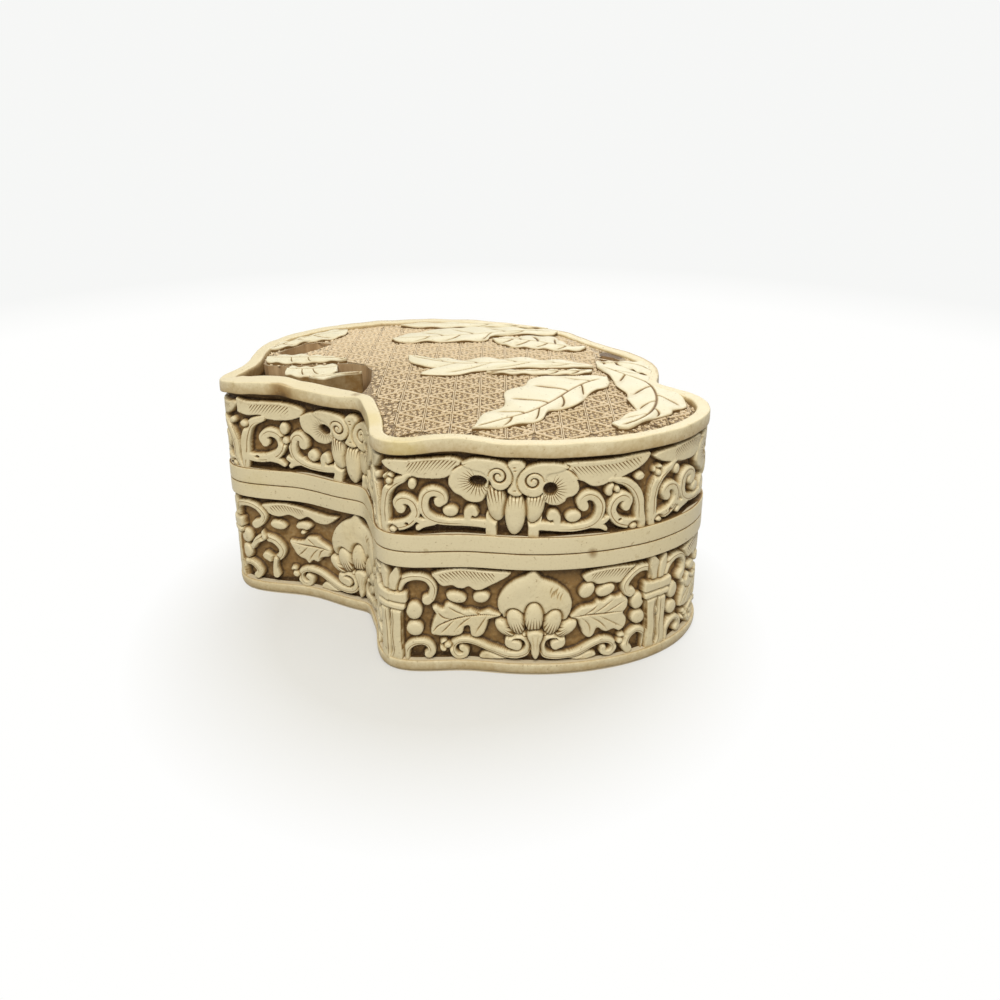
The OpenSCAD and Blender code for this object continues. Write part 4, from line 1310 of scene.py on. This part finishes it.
LID_RIGHT = {
    "feather": ([
        (36.4, 52.3), (44, 52.6), (51.8, 52.7), (55.8, 53.1), (55.2, 51.2), (52.9, 49.6), (49.6, 48.4),
        (47.3, 48), (45.1, 47), (42.9, 46.9), (40.7, 48.1), (38.6, 49.2),
    ], [(37, 51.8), (43, 51.6), (49, 51.7), (54.4, 52.3)], 1.7, 0.9, 0.82, (37.8, 53.8)),
    "shell": ([
        (32.2, 51.2), (31.6, 48.6), (32.1, 45.4), (32.9, 43.5), (35.1, 43), (36.8, 43.8), (37.3, 44.6),
        (38.8, 45), (39.9, 46.3), (39.7, 48.1), (38.3, 50), (36.4, 51.4),
    ], (33.6, 46.8), 1.5, 1.5, 1),
    "seam": [(39.9, 48.6), (38.4, 50.4), (36.6, 51.5)],
    "spiral": ([
        (37.6, 51.7), (34.4, 52.7), (30.8, 52.5), (28, 51.2), (26.6, 48.9), (26.9, 46.7), (28.5, 45.2),
        (30.7, 45), (32.2, 46.2), (32.6, 48.4), (33.2, 50), (35.6, 50.6),
    ], (30.0, 48.5), 2.3, -1),
    "bands": [
        ([(47, 47.9), (50, 47.1), (52.5, 45.1), (54, 42), (54.2, 38.6), (54.5, 35)], STEM_WIDTHS, (-0.3,)),
        ([(53.8, 37), (51.4, 37), (48.8, 38), (47.3, 40.4), (47.9, 42.6), (49.6, 43.5), (51, 42.7),
          (50.6, 41.2)], CURL_WIDTHS, (0.3,)),
        ([(42.8, 38), (44.9, 38.2), (46.1, 38.9)], FORK_WIDTHS, ()),
        ([(42.8, 37.7), (44.8, 37.2), (45.8, 36.5)], FORK_WIDTHS, ()),
        ([(35.2, 38.4), (35, 39.9), (34.3, 40.8), (33.7, 40.1)], HOOK_WIDTHS, ()),
        ([(30.6, 38.1), (36.2, 37.7), (40.7, 37.5), (42.9, 38.1), (44.3, 39.8), (44.7, 42.3), (43.7, 44.2),
          (41.9, 44.8), (40.5, 43.7), (40.9, 42.5)], BAR_WIDTHS, (-0.3,)),
        ([(30.4, 40), (30.3, 37.6), (30.2, 34.6)], (3.4, 2.6, 2.7), ()),
    ],
    "buds": [
        (38.7, 40.1, 1.85, 1.3, 0), (46.8, 45.6, 1.1, 1.5, -20), (53.8, 47.8, 1.2, 0.9, 20),
        (52.9, 36.1, 0.9, 0.7, 0), (48.4, 45.4, 0.7, 0.8, 0),
    ],
    "pit": ((49.4, 38.2), 0.36, 0.3),
}
LID_SIDE_LEFT = {
    "feather": ([
        (-8.6, 51.6), (-5.8, 53), (0.2, 53.1), (5.2, 53.3), (9.2, 53), (11.8, 52), (11.6, 50.4), (9, 49.2),
        (5.6, 48.6), (2.2, 49), (1, 49.8), (-2.4, 49.5), (-5.4, 50), (-7.4, 51),
    ], [(-4, 52.3), (1, 52.4), (6, 52.6), (10, 52.2)], 1.9, -0.9, 0.82, (-2, 8.6)),
    "shell": ([
        (14.2, 51.8), (11.4, 50.4), (11.2, 48.6), (12, 46.8), (14, 45.8), (15.8, 44.6), (18.2, 44.4),
        (20, 45.4), (20.6, 47.4), (20.4, 50), (18.6, 51.4),
    ], (18.4, 48.3), 1.6, 1.2, -1),
    "seam": [(11.2, 50.4), (12.6, 51.4), (14.4, 52)],
    "spiral": LEFT_SPIRAL,
    "bands": [
        ([(1.4, 49), (-1.8, 47.4), (-3.4, 44.4), (-4.2, 40.6), (-4.8, 37.6), (-5, 34.6)],
         (1.6, 2.2, 2.6, 3, 3.4, 3.8), (0.4,)),
        ([(-3.6, 38.8), (-0.6, 38.5), (2, 38.8), (4.6, 40), (5.8, 42.2), (5, 44.6), (2.8, 45.4), (1.1, 44.2),
          (1.6, 42.8)], CURL_WIDTHS, (-0.3,)),
        ([(2.4, 38.6), (4.6, 38), (5.8, 37.2)], FORK_WIDTHS, ()),
        ([(11, 38.6), (8.4, 38.4), (7.2, 39)], FORK_WIDTHS, ()),
        ([(11, 38.4), (8.6, 37.7), (7.6, 37)], FORK_WIDTHS, ()),
        ([(17.2, 38.4), (17.2, 40.2), (17.9, 41), (18.6, 40.2)], HOOK_WIDTHS, ()),
        ([(21.2, 38.4), (17.2, 37.8), (12.7, 37.8), (9.6, 39.2), (8.6, 41.8), (9.2, 44.4), (10.6, 45.2),
          (11.6, 44.2), (11.6, 43.2)], BAR_WIDTHS, (0.3,)),
        ([(21.8, 40.4), (21.9, 37.6), (21.6, 34.6)], (3, 2.4, 2.8), ()),
    ],
    "buds": [
        (13.9, 40.6, 1.5, 1.5, 0), (6.6, 46.6, 1.2, 1.5, 0), (6.8, 43.6, 0.9, 0.9, 0),
        (-3.8, 47.2, 1, 0.8, 0),
    ],
    "pit": ((-1.1, 38.9), 0.5, 0.36),
}
print("motifs listed for three half panels")

# %% Draw and bend the lid's panels
LID_LOW = 35.0
LID_HIGH = 54.5
LID_FOOT = 35.6
LID_TOP = 53.7
LID_GROUND = 0.66
BAR_FOOT = 37.2
FRONT_LID = (-4.0, 26.2, 56.0)
SIDE_LID = (-5.3, 26.2, 56.0)
COIL_TURNS = 1.5
SHELL_STROKES = 26
LID_PETALS = [
    ((22.1, 43.2), 2.15, 4.2, 190, 2.3, 0.25), ((30.4, 43.0), 2.15, 4.2, 170, 2.3, 0.25),
    ((26.2, 40.9), 2.25, 5.0, 180, 2.4, -0.1),
]
SPOOL_MARKS = ((26.0, 51.6), (26.1, 50.9), (26.0, 46.4))
SPOOL = [
    (24.4, 52), (25.3, 52.9), (26.4, 53.1), (27.5, 52.9), (28.3, 52), (27.6, 50.7), (27.2, 49.4), (27.2, 48),
    (27.6, 46.9), (28.1, 46), (27.4, 45.3), (26.2, 45), (25, 45.4), (24.3, 46.1), (24.9, 47.2), (25.2, 48.4),
    (25.2, 49.6), (24.9, 50.8),
]


def shell(c, corners, hole, across, up, side):
    """A shell lobe: fine strokes run out and down from a deep hole, towards one side."""
    win, d = c.patch(corners, top=1.95, edge=1.55, reach=0.5, cut=0)
    x = (c.S[win] - hole[0]) / across
    y = (c.Z[win] - hole[1]) / up
    ring = np.hypot(x, y)
    facing = ease((0.8 * side * x - 0.6 * y) / (ring + 1e-6), -0.5, -0.1)
    mask = (d < -0.1) * facing * np.clip((2.7 - ring) / 1.6, 0, 1)
    c.score(win, mask, np.arctan2(y, side * x) * SHELL_STROKES / math.tau, share=0.55)
    c.pit(hole, across, up)


def coil(c, middle, reach, turn):
    """The dark line of a spiral, wound in from the side away from the stem."""
    a = np.linspace(0, COIL_TURNS * math.tau, 22)
    r = reach * (1 - 0.82 * (a / a[-1]) ** 0.9)
    s = middle[0] - turn * r * np.cos(a)
    z = middle[1] + r * np.sin(a)
    c.nick(np.column_stack([s, z]), width=0.36, depth=0.8, stain=1.1)


def lid_panel(left, right, drawn, seed):
    """A whole panel from its two halves; the petals and the stem are common to all."""
    c = Carving((drawn[0], drawn[2]), (LID_LOW, LID_HIGH), FINE, seed)
    # Painted shade in the gap between the lid band and the bars.
    c.shade(BAR_FOOT)
    for half in (left, right):
        feather(c, *half["feather"])
        draw_half(c, half, cut=0)
    for row in LID_PETALS:
        petal(c, *row)
    c.patch(SPOOL, top=2.3, edge=1.7, reach=0.6)
    for s, z in SPOOL_MARKS:
        c.nick([(s - 0.35, z), (s + 0.35, z + 0.1)], width=0.24, depth=0.25)
    for half in (left, right):
        corners_of, *line_of = half["spiral"]
        c.patch(corners_of, top=2.15, edge=1.75, reach=0.5, moat=0.2)
        shell(c, *half["shell"])
        coil(c, *line_of)
        c.nick(half["seam"], width=0.3, depth=0.5, stain=1.0)
        c.pit(*half["pit"])
    return c.finish(LID_FOOT, LID_TOP, LID_GROUND)


lid_front = lid_panel(LID_FRONT_LEFT, LID_RIGHT, FRONT_LID, 5)
lid_side = lid_panel(LID_SIDE_LEFT, LID_RIGHT, SIDE_LID, 6)
LID_MAPS = ((lid_front, FRONT_LID), (lid_side, SIDE_LID))
LID_ENDS = (-60.5, FRONT_LID[0])
LID_MIDDLES = (FRONT_LID[1], GIRTH - 29.0)
panels_round("lid_carving", "lid", LID_MAPS, LID_ENDS, LID_MIDDLES)

# %% [markdown]
# ## The lattice on the lid
# The domed field is covered with a lattice of triangles, each framed by its own thin rib and
# filled with small curls. One tile of a few dozen faces is enough. Geometry Nodes set it
# on a grid of points, turn every second one, and drop the result onto a sheet with the dome's
# height. The sheet runs under the rim and stops at the hollows, and points that miss it go.

# %% Make one tile
TILE_SIDE = 6.9
TILE_RISE = 0.30
TILE_WIDE = TILE_SIDE * math.sqrt(3) / 2
TILE_IN = TILE_WIDE / 3
RIB_STEPS = [(0.02, 0.3, 0.6), (0.14, 1.0, 0.1), (0.26, 1.0, 0.1), (0.42, -0.12, 1.0)]
CURLS = [(2.05, 0.0, 0.7), (0.98, math.pi / 3, 0.66)]
CURL_HALF = 0.29
CURL_STEPS = 5
CURL_FROM = 0.9
CURL_TURN = 1.15
CURL_SHRINK = 0.11
CURL_LANES = ((1, -0.12, 0.95), (0, 0.9, -0.2), (-1, -0.12, 0.95))


def tile_mesh():
    """A triangle that points along +X: a ribbed frame and six curls."""
    points = []
    faces = []
    for inset, rise, stain in RIB_STEPS:
        reach = 2 * (TILE_IN - inset)
        for k in range(3):
            a = math.tau * k / 3
            points.append((reach * math.cos(a), reach * math.sin(a), rise * TILE_RISE, stain))
    for ring_of in range(0, 3 * len(RIB_STEPS) - 3, 3):
        for k in range(3):
            j = (k + 1) % 3
            faces.append((ring_of + k, ring_of + j, ring_of + 3 + j, ring_of + 3 + k))
    for away, turn, wide in CURLS:
        for k in range(3):
            base = len(points)
            a = turn + math.tau * k / 3
            for step in range(CURL_STEPS):
                b = a + CURL_FROM + step * CURL_TURN
                for lane, rise, stain in CURL_LANES:
                    r = wide - CURL_SHRINK * step + lane * CURL_HALF
                    x = away * math.cos(a) + r * math.cos(b)
                    y = away * math.sin(a) + r * math.sin(b)
                    points.append((x, y, rise * TILE_RISE, stain))
            for p in [base + 3 * step + lane for step in range(CURL_STEPS - 1) for lane in range(2)]:
                faces.append((p, p + 3, p + 4, p + 1))
    mesh = bpy.data.meshes.new("lattice_tile")
    rows = np.array(points)
    mesh.from_pydata((rows[:, :3] * MM).tolist(), [], faces)
    write_layer(mesh, rows[:, 3])
    return mesh


tile = add_object("lattice_tile", tile_mesh())
print("tile with", len(tile.data.polygons), "faces")

# %% [markdown]
# The sheet needs the plan of the hollows. They are closed lines of a few corners in the drawing
# plan of the lid, whose middle differs a little from the frame's.

# %% Cut the sheet that the lattice falls on
PLAN_MID = np.array((-0.30, 0.83))
CROWN_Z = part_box("lid_field")[1].z / MM
DOME_FALL = 0.000533
SHEET_STEP = 0.6
SHEET_EDGE = -3.2
HOLLOWS = [
    [(-21, -40), (-21, -8), (-22, 0), (-24, 4), (-28, 6), (-36, 5.8), (-44, 5.8), (-50, 7), (-54, 12.5),
     (-80, 14), (-80, -40)],
    [(-50, 19), (-46, 14.6), (-44, 16), (-40, 20), (-36, 27), (-39, 28.2), (-44, 27.4), (-48, 22.4)],
    [(37, 8), (42, 8.4), (43.4, 12), (42.6, 18), (40.6, 20), (38.2, 17.5), (37, 12)],
]


def dome_z(x, y):
    """The height of the domed field."""
    return CROWN_Z - DOME_FALL * (x * x + y * y)


def sheet_mesh():
    """The dome as a fine sheet, without the hollows."""
    low = outline.min(axis=0)
    high = outline.max(axis=0)
    x, y = np.meshgrid(np.arange(low[0], high[0], SHEET_STEP), np.arange(low[1], high[1], SHEET_STEP))
    quads = grid_quads(np.arange(x.size).reshape(x.shape))
    points = np.column_stack([x.ravel(), y.ravel(), dome_z(x, y).ravel()])
    middles = points[quads, :2].mean(axis=1)
    keep = within(middles, (outline + SHEET_EDGE * track[:, 2:])[::6])
    for hollow in HOLLOWS:
        keep &= ~within(middles, deepen(flow(hollow, closed=True) - PLAN_MID))
    mesh = bpy.data.meshes.new("lattice_sheet")
    mesh.from_pydata((points * MM).tolist(), [], quads[keep].tolist())
    return mesh


sheet = add_object("lattice_sheet", sheet_mesh())
print("sheet of", len(sheet.data.polygons), "cells")

# %% Build the lattice tree
DROP_FROM = 80.0
LATTICE_INPUTS = [("Tile", "Object"), ("Sheet", "Object"), ("Finish", "Material")]
lattice = Maker("lattice", LATTICE_INPUTS)
turn = lattice.node("GeometryNodeInputNamedAttribute", {"data_type": "FLOAT"}, {"Name": "turn"})
angles = lattice.node("ShaderNodeCombineXYZ", {}, {"Z": turn})
spin = lattice.node("FunctionNodeEulerToRotation", {}, {0: angles})
tile_in = {"Object": lattice.enter.other("Tile"), "As Instance": True}
tile_set = lattice.node("GeometryNodeObjectInfo", {}, tile_in, out="Geometry")
points_in = {"Points": lattice.enter, "Instance": tile_set, "Rotation": spin}
tiled = lattice.node("GeometryNodeInstanceOnPoints", {}, points_in)
real = lattice.node("GeometryNodeRealizeInstances", {}, {"Geometry": tiled})
here = lattice.node("GeometryNodeInputPosition", {}, {})
across = lattice.node("ShaderNodeSeparateXYZ", {}, {0: here}, out="X")
above_in = {"X": across, "Y": across.other("Y"), "Z": DROP_FROM * MM}
above = lattice.node("ShaderNodeCombineXYZ", {}, above_in)
sheet_in = {"Object": lattice.enter.other("Sheet")}
dome = lattice.node("GeometryNodeObjectInfo", {}, sheet_in, out="Geometry")
drop_in = {"Target Geometry": dome, "Source Position": above, "Ray Direction": (0, 0, -1)}
hit = lattice.node("GeometryNodeRaycast", {}, drop_in, out="Is Hit")
lift = lattice.node("ShaderNodeCombineXYZ", {}, {"Z": across.other("Z")})
landed_in = {0: hit.other("Hit Position"), 1: lift}
landed = lattice.node("ShaderNodeVectorMath", {"operation": "ADD"}, landed_in)
missed = lattice.node("FunctionNodeBooleanMath", {"operation": "NOT"}, {0: hit})
kept_in = {"Geometry": real, "Selection": missed}
kept = lattice.node("GeometryNodeDeleteGeometry", {"domain": "POINT"}, kept_in)
lattice.end(lattice.node("GeometryNodeSetPosition", {}, {"Geometry": kept, "Position": landed}))

# %% Lay the lattice
GRID_ACROSS = 24
GRID_DEEP = 18
seeds = []
turns = []
for column in range(-GRID_ACROSS // 2, GRID_ACROSS // 2):
    for row in range(-GRID_DEEP // 2, GRID_DEEP // 2):
        shift = (column % 2) * TILE_SIDE / 2
        seeds.append((column * TILE_WIDE + TILE_IN, row * TILE_SIDE + shift, 0))
        seeds.append((column * TILE_WIDE + 2 * TILE_IN, (row + 0.5) * TILE_SIDE + shift, 0))
        turns += [0.0, math.pi]
seed_mesh = bpy.data.meshes.new("lattice_points")
seed_mesh.from_pydata((np.array(seeds) * MM).tolist(), [], [])
write_layer(seed_mesh, turns, "turn")
layout = add_object("lattice_points", seed_mesh)
place("lattice", lattice.make(layout, tile, sheet, tan_lattice), "lid", "tan_field")

# %% [markdown]
# ## The field
# Under the ribs lies the domed ground of the lattice. The CAD solid has its shape, so a copy is
# merged and shaded smooth. Its finish is a darker stain with fine light curls, which are the
# level lines of a smooth noise. The upright faces, where the hollows are cut, take the brown.

# %% Copy the field
RECESS = ((40.2, 13.6, 55.4), 4.6)
RECESS_BROWN = (0.13, 0.08, 0.036)
FIELD_DARK = (0.12, 0.07, 0.028)
FIELD_PALE = (0.46, 0.335, 0.18)
FIELD_BACK_SHEEN = 0.66


def field_finish():
    """Dark stain with light curls, painted paler towards the back as a painted sheen, and dark in a recess
    on the right.
    """
    finish = Finish("field_ground")
    curls = finish.noise(2.2, 0.0, twist=0.7).waves(0.14).past(0.25, 2.6)
    fine = finish.noise(0.5, 2.0)
    cloud = finish.noise(16.0, 2.0)
    shade = (curls * 0.7 + (fine - 0.5) * 0.5 + (cloud - 0.5) * 0.3 + 0.05).clip()
    colour = finish.mix(shade, FIELD_DARK, FIELD_PALE)
    # Painted sheen: the field grows paler towards the back of the box.
    colour = finish.mix(finish.backwards() * FIELD_BACK_SHEEN, colour, TAN[0])
    colour = finish.mix((finish.near(*RECESS) * 3).clip(), colour, RECESS_BROWN)
    return finish.paint(colour, 0.48 + fine * 0.1, finish.bump(curls * 0.8 + fine * 0.2, 0.3, 0.7))


core("field_dome", "lid_field", "lid", [field_finish(), hollow_brown], "tan_field")

# %% [markdown]
# ## Leaves
# The leaves on the lid are low castings with wavy edges and cut veins. Each is lofted: a rib line
# from stem to tip and an edge line on each side, with rows between them. The height follows the
# dome, swells between the veins and ripples at the edge, and a skirt closes the leaf below.

# %% Loft the leaves
LEAF_ROWS = 170
LEAF_HALF = 34
EDGE_DROP = 0.16
FOLD = 0.3
LEAF_WAVES = 5.0
LEAF_LIMIT = -2.0
LEAF_ENDS = 0.035
LEAF_CREASE = math.radians(55)
RIB_HALF = 0.3
FOLD_HALF = 2.2
VEIN_DEPTH = 0.36
# A skirt is (how deep it goes, how dark its side is); the dark side is stain and painted shade.
LEAF_SKIRT = (0.9, 0.85)
TIP_SKIRT = (0.0, 0.7)


def tucked(line):
    """Drawn points that would pass the rim go back under it."""
    offset, away = nearest_wall(line - PLAN_MID)
    return line - np.clip(offset - LEAF_LIMIT, 0, None)[:, None] * away


def even(points, count):
    """A smooth line through points, cut into equal lengths."""
    line = flow(points, steps=12)
    reach = np.concatenate([[0], np.cumsum(np.hypot(*np.diff(line, axis=0).T))])
    at = np.linspace(0, reach[-1], count)
    return np.column_stack([np.interp(at, reach, axis) for axis in line.T]), reach[-1]


def leaf_mesh(name, top, drop, patina, skirt_stain_and_shade):
    """A closed mesh: the lofted top, a skirt of the given drop darkened by stain and painted shade,
    and a flat underside.
    """
    rows, columns = top.shape[:2]
    grid = np.arange(rows * columns).reshape(rows, columns)
    loop = np.concatenate([grid[:, 0], grid[-1, 1:], grid[-2::-1, -1], grid[0, -2:0:-1]])
    edge = top.reshape(-1, 3)[loop]
    fall = drop.ravel()[loop]
    down = [np.column_stack([edge[:, :2], edge[:, 2] - step]) for step in (EDGE_DROP, fall)]
    brow = rows * columns + np.arange(len(loop))
    foot = brow + len(loop)
    hoops = np.array([np.append(hoop, hoop[:1]) for hoop in (loop, brow, foot)])
    mesh = bpy.data.meshes.new(name)
    points = np.vstack([top.reshape(-1, 3), *down]) * MM
    faces = np.vstack([grid_quads(grid.T), grid_quads(hoops.T)]).tolist()
    mesh.from_pydata(points.tolist(), [], faces + [foot[::-1].tolist()])
    write_layer(mesh, np.concatenate([np.ravel(patina), np.full(2 * len(loop), skirt_stain_and_shade)]))
    mended(mesh, lambda shape: bmesh.ops.recalc_face_normals(shape, faces=shape.faces))
    mesh.shade_smooth()
    mesh.set_sharp_from_angle(angle=LEAF_CREASE)
    mesh.materials.append(leaf_cream)
    return mesh


def leaf(name, rib, left, right, veins, ground=None, lift=0.75, swell=0.55, ripple=0.2, vein=0.4):
    """A leaf from its rib line and its two edges, all from stem to tip."""
    middle, length = even(rib, LEAF_ROWS)
    middle = tucked(middle)
    t = np.linspace(0, 1, LEAF_ROWS)
    blunt = np.sqrt(np.clip(np.minimum(t, 1 - t) / LEAF_ENDS, 0.01, 1))[:, None]
    edges = [middle + (tucked(even(line, LEAF_ROWS)[0]) - middle) * blunt for line in (left, right)]
    T, V = np.meshgrid(t, np.linspace(-1, 1, 2 * LEAF_HALF + 1), indexing="ij")
    edge = np.where((V < 0)[..., None], edges[0][:, None], edges[1][:, None])
    far_out = np.abs(V)
    plan = middle[:, None] * (1 - far_out)[..., None] + edge * far_out[..., None] - PLAN_MID
    width = np.hypot(*(edge - middle[:, None]).transpose(2, 0, 1))
    wave = np.sin(math.tau * LEAF_WAVES * T + np.where(V < 0, 0.0, 2.1)) * far_out ** 1.6
    base = dome_z(plan[..., 0], plan[..., 1]) if ground is None else np.full(T.shape, ground)
    rise = lift + swell * np.sqrt(np.clip(1 - far_out ** 2.2, 0, 1)) + ripple * wave
    cut = np.clip(1.4 - far_out * width / RIB_HALF, 0, 1) * ease(T, 0.03, 0.1) * (1 - ease(T, 0.93, 0.99))
    fold = np.zeros(T.shape)
    for start, side, slant in veins:
        gap = np.abs(T - start - slant * far_out ** 1.4) * length
        own = (V * side > 0) * (1 - ease(far_out, 0.6, 0.85))
        cut = np.maximum(cut, np.clip(1.3 - gap / vein, 0, 1) * own)
        fold = fold + (V * side > 0) * ease(far_out, 0.1, 0.5) * np.exp(-(gap / FOLD_HALF) ** 2)
    rise = rise - VEIN_DEPTH * cut - FOLD * fold
    top = np.concatenate([plan, (base + rise)[..., None]], axis=-1)
    # Painted shade in the folds between veins and in the troughs of the ripple; the darker strip along the
    # edge is stain and painted shade.
    edge_stain_and_fold_shade = 0.3 * ease(far_out * width, width - 0.4, width) + 0.12 * np.clip(-wave, 0, 1) + 0.14 * fold
    patina = np.clip(0.9 * cut + edge_stain_and_fold_shade, 0, 1)
    buried, skirt_stain_and_shade = LEAF_SKIRT if ground is None else TIP_SKIRT
    place(name, leaf_mesh(name, top, rise + buried, patina, skirt_stain_and_shade), "lid", "cream_relief")


VEINS = [
    (0.12, -1, 0.11), (0.2, 1, 0.11), (0.32, -1, 0.12), (0.4, 1, 0.12), (0.52, -1, 0.13), (0.6, 1, 0.13),
    (0.7, -1, 0.12), (0.78, 1, 0.1),
]
leaf("leaf_front",
     [(36.5, -7.4), (31, -12), (26.5, -18), (22.5, -24.5), (17, -31.5), (10, -36.6), (4.4, -40.6)],
     [(36, -6.2), (30, -6.0), (25, -6), (18, -8.5), (16, -14), (11.5, -18), (11.2, -27), (7, -31.5),
      (4.3, -40.4)],
     [(37.2, -8.6), (36, -13), (31.5, -18), (28, -25.5), (21.5, -30), (19, -35), (12, -38.5),
      (4.7, -40.8)], VEINS)
leaf("leaf_right",
     [(35, 2.4), (40.5, -4), (44.5, -8.2), (46.4, -11.6), (46.9, -17), (46.3, -22.7), (44.4, -28.6),
      (41, -33.8), (35.6, -38.4)],
     [(36.4, 3.4), (40.3, 3), (43.7, 0.4), (46, -2.8), (50, -6.6), (52, -11.2), (53.2, -15.7), (53.4, -22),
      (52.4, -25), (49.6, -26.8), (48.6, -29), (45, -31.6), (41.2, -35), (38.2, -38), (36, -39.2)],
     [(34.2, 2.6), (36.4, -1.8), (38, -8.2), (38.4, -13.5), (40.2, -17), (39.7, -21.4), (41, -26.8),
      (40, -29), (37.8, -31.4), (35.8, -33.6), (34.5, -36.2), (34.8, -38.2)], VEINS)
leaf("leaf_left",
     [(34, 1.0), (24, 2.6), (12, 2.4), (2, 1.2), (-5, 3.2), (-13.6, 8.4)],
     [(34, 0.5), (24, 0.4), (14, -0.7), (5, -3.5), (0, -6), (-5, -6.6), (-9.3, -5.2), (-5, -1.2), (-9, 0.5),
      (-12.5, 4), (-13.9, 8.2)],
     [(34, 1.6), (31, 4.5), (20, 7.5), (8, 7.5), (0, 6), (-8, 8), (-13.5, 8.7)], VEINS)
leaf("leaf_slim",
     [(33.4, -2.2), (24, -3.2), (15, -4.2), (7, -4.6)],
     [(33.2, -3.4), (26, -4.8), (15, -5.4), (7, -4.8)],
     [(33.6, -1), (24, -1.6), (14, -2.8), (7, -4.4)], VEINS[:4], swell=0.4)
leaf("leaf_back",
     [(33.6, 18.4), (28, 19), (21, 22.5), (14, 25), (8.2, 25.4)],
     [(34.4, 19.1), (31, 19.6), (29, 22), (27, 27), (25, 30.5), (18, 31), (12, 28.6), (8, 25.6)],
     [(33.2, 17.4), (30, 16), (25, 16.5), (20, 18), (14, 19), (10, 22.6), (8.1, 25.1)], VEINS)
leaf("leaf_long",
     [(26.8, 34.4), (16, 34.6), (4, 30.4), (-8, 27.6), (-19.8, 25.8)],
     [(27.2, 35.4), (24, 38.2), (12, 40.6), (0, 40.2), (-10, 37), (-17, 31), (-20, 26.4)],
     [(27.2, 33.8), (24, 32), (14, 32.2), (8, 29), (6.4, 25.6), (0, 24), (-8, 24), (-17, 23.6),
      (-20, 25.6)], VEINS)
leaf("leaf_far",
     [(24.2, 38.4), (14, 41.6), (4, 43), (-8, 43.4), (-19, 42.6)],
     [(24.6, 38.6), (22, 39.8), (13, 43), (4, 45), (-8, 45.6), (-16, 45), (-19, 43)],
     [(24.2, 37.9), (20, 39.4), (10, 40.6), (0, 40.4), (-10, 40.4), (-19, 42.2)], VEINS[:4])
leaf("leaf_stem",
     [(35, 5), (40.6, 5.8), (45.6, 4.4), (48.6, 0)],
     [(34.6, 3.4), (40, 3.4), (43.6, 1), (45.8, -2), (48.2, -3)],
     [(35, 6.4), (40.6, 7.4), (45.4, 8), (48.4, 7), (49.2, 3), (48.8, -1.6)], VEINS[:3], swell=0.3)
leaf("leaf_rim",
     [(-52.6, 19.4), (-49, 25.6), (-43, 32), (-34, 38)],
     [(-53, 19.6), (-51.6, 25), (-48, 30.6), (-43, 36.2), (-38, 39.4), (-34, 38.8)],
     [(-52.2, 19.2), (-48, 22.8), (-44, 27.6), (-39, 28.8), (-35, 32), (-33.4, 37.2)], VEINS[1:6])
leaf("leaf_edge",
     [(-51.2, 11.4), (-45, 10), (-37, 9), (-29.4, 6.9)],
     [(-51.4, 11), (-50, 8), (-44, 6.4), (-36, 6.4), (-29.6, 6.7)],
     [(-51.2, 12.4), (-46, 13.4), (-40, 13.2), (-34, 10), (-29.2, 7.2)], VEINS[2:5], vein=0.13)

# %% Stand the leaf and the curl in the hollow
HOLLOW_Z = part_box("tip_leaves")[0].z / MM
TIP_LIFT = 6.9
leaf("tip_leaf",
     [(-43.6, 0.4), (-38, 0.2), (-31, 1.8)],
     [(-43.6, 0), (-43, -3.2), (-38, -4.4), (-33, -3.2), (-30.8, -1.2), (-30.8, 1.4)],
     [(-43.6, 0.8), (-43, 3.6), (-38, 4.2), (-32, 4.8), (-30.9, 2.2)],
     VEINS[1:5], HOLLOW_Z, lift=TIP_LIFT, vein=0.12)
leaf("tip_curl",
     [(-36.8, -5.6), (-32.6, -5.8), (-29, -3.6), (-24.2, -2.2)],
     [(-36.8, -5.8), (-33, -7.2), (-30.2, -5), (-27.4, -3.4), (-24.2, -2.6)],
     [(-36.8, -5.4), (-33, -4.6), (-30, -2.8), (-27, -2.1), (-24.2, -1.8)],
     [], HOLLOW_Z, lift=TIP_LIFT, ripple=0.0)

# %% [markdown]
# ## Hand the pieces to the frame
# Every piece rides on the tub or on the lid, and the list of pieces keeps the finish slot it was placed
# with. Pieces that stand for CAD solids say which ones, so that the solids are hidden but still collide.

# %% Ride, slots and replaced nodes
TUB_NODES = ("columns", "lotus", "peaches", "leaves", "scrolls", "feathers", "beads")
LID_NODES = ("lotus", "shells", "scrolls", "feathers", "beads")
STANDS_FOR = {
    "tub_floor": ["base_plinth"],
    "tub_wall": ["base_wall"],
    "tub_carving_1": ["base_" + name for name in TUB_NODES],
    "lid_wall": ["lid_shell"],
    "lid_carving_1": ["lid_" + name for name in LID_NODES],
    "rim_bead": ["lid_rim"],
    "field_dome": ["lid_field"],
    "leaf_front": ["top_leaves"],
    "tip_leaf": ["tip_leaves"],
}
for name, (piece, body, slot) in pieces.items():
    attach(piece, body)
    if name in STANDS_FOR:
        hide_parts(*STANDS_FOR[name])
print(len(pieces), "pieces ride on the tub and the lid")
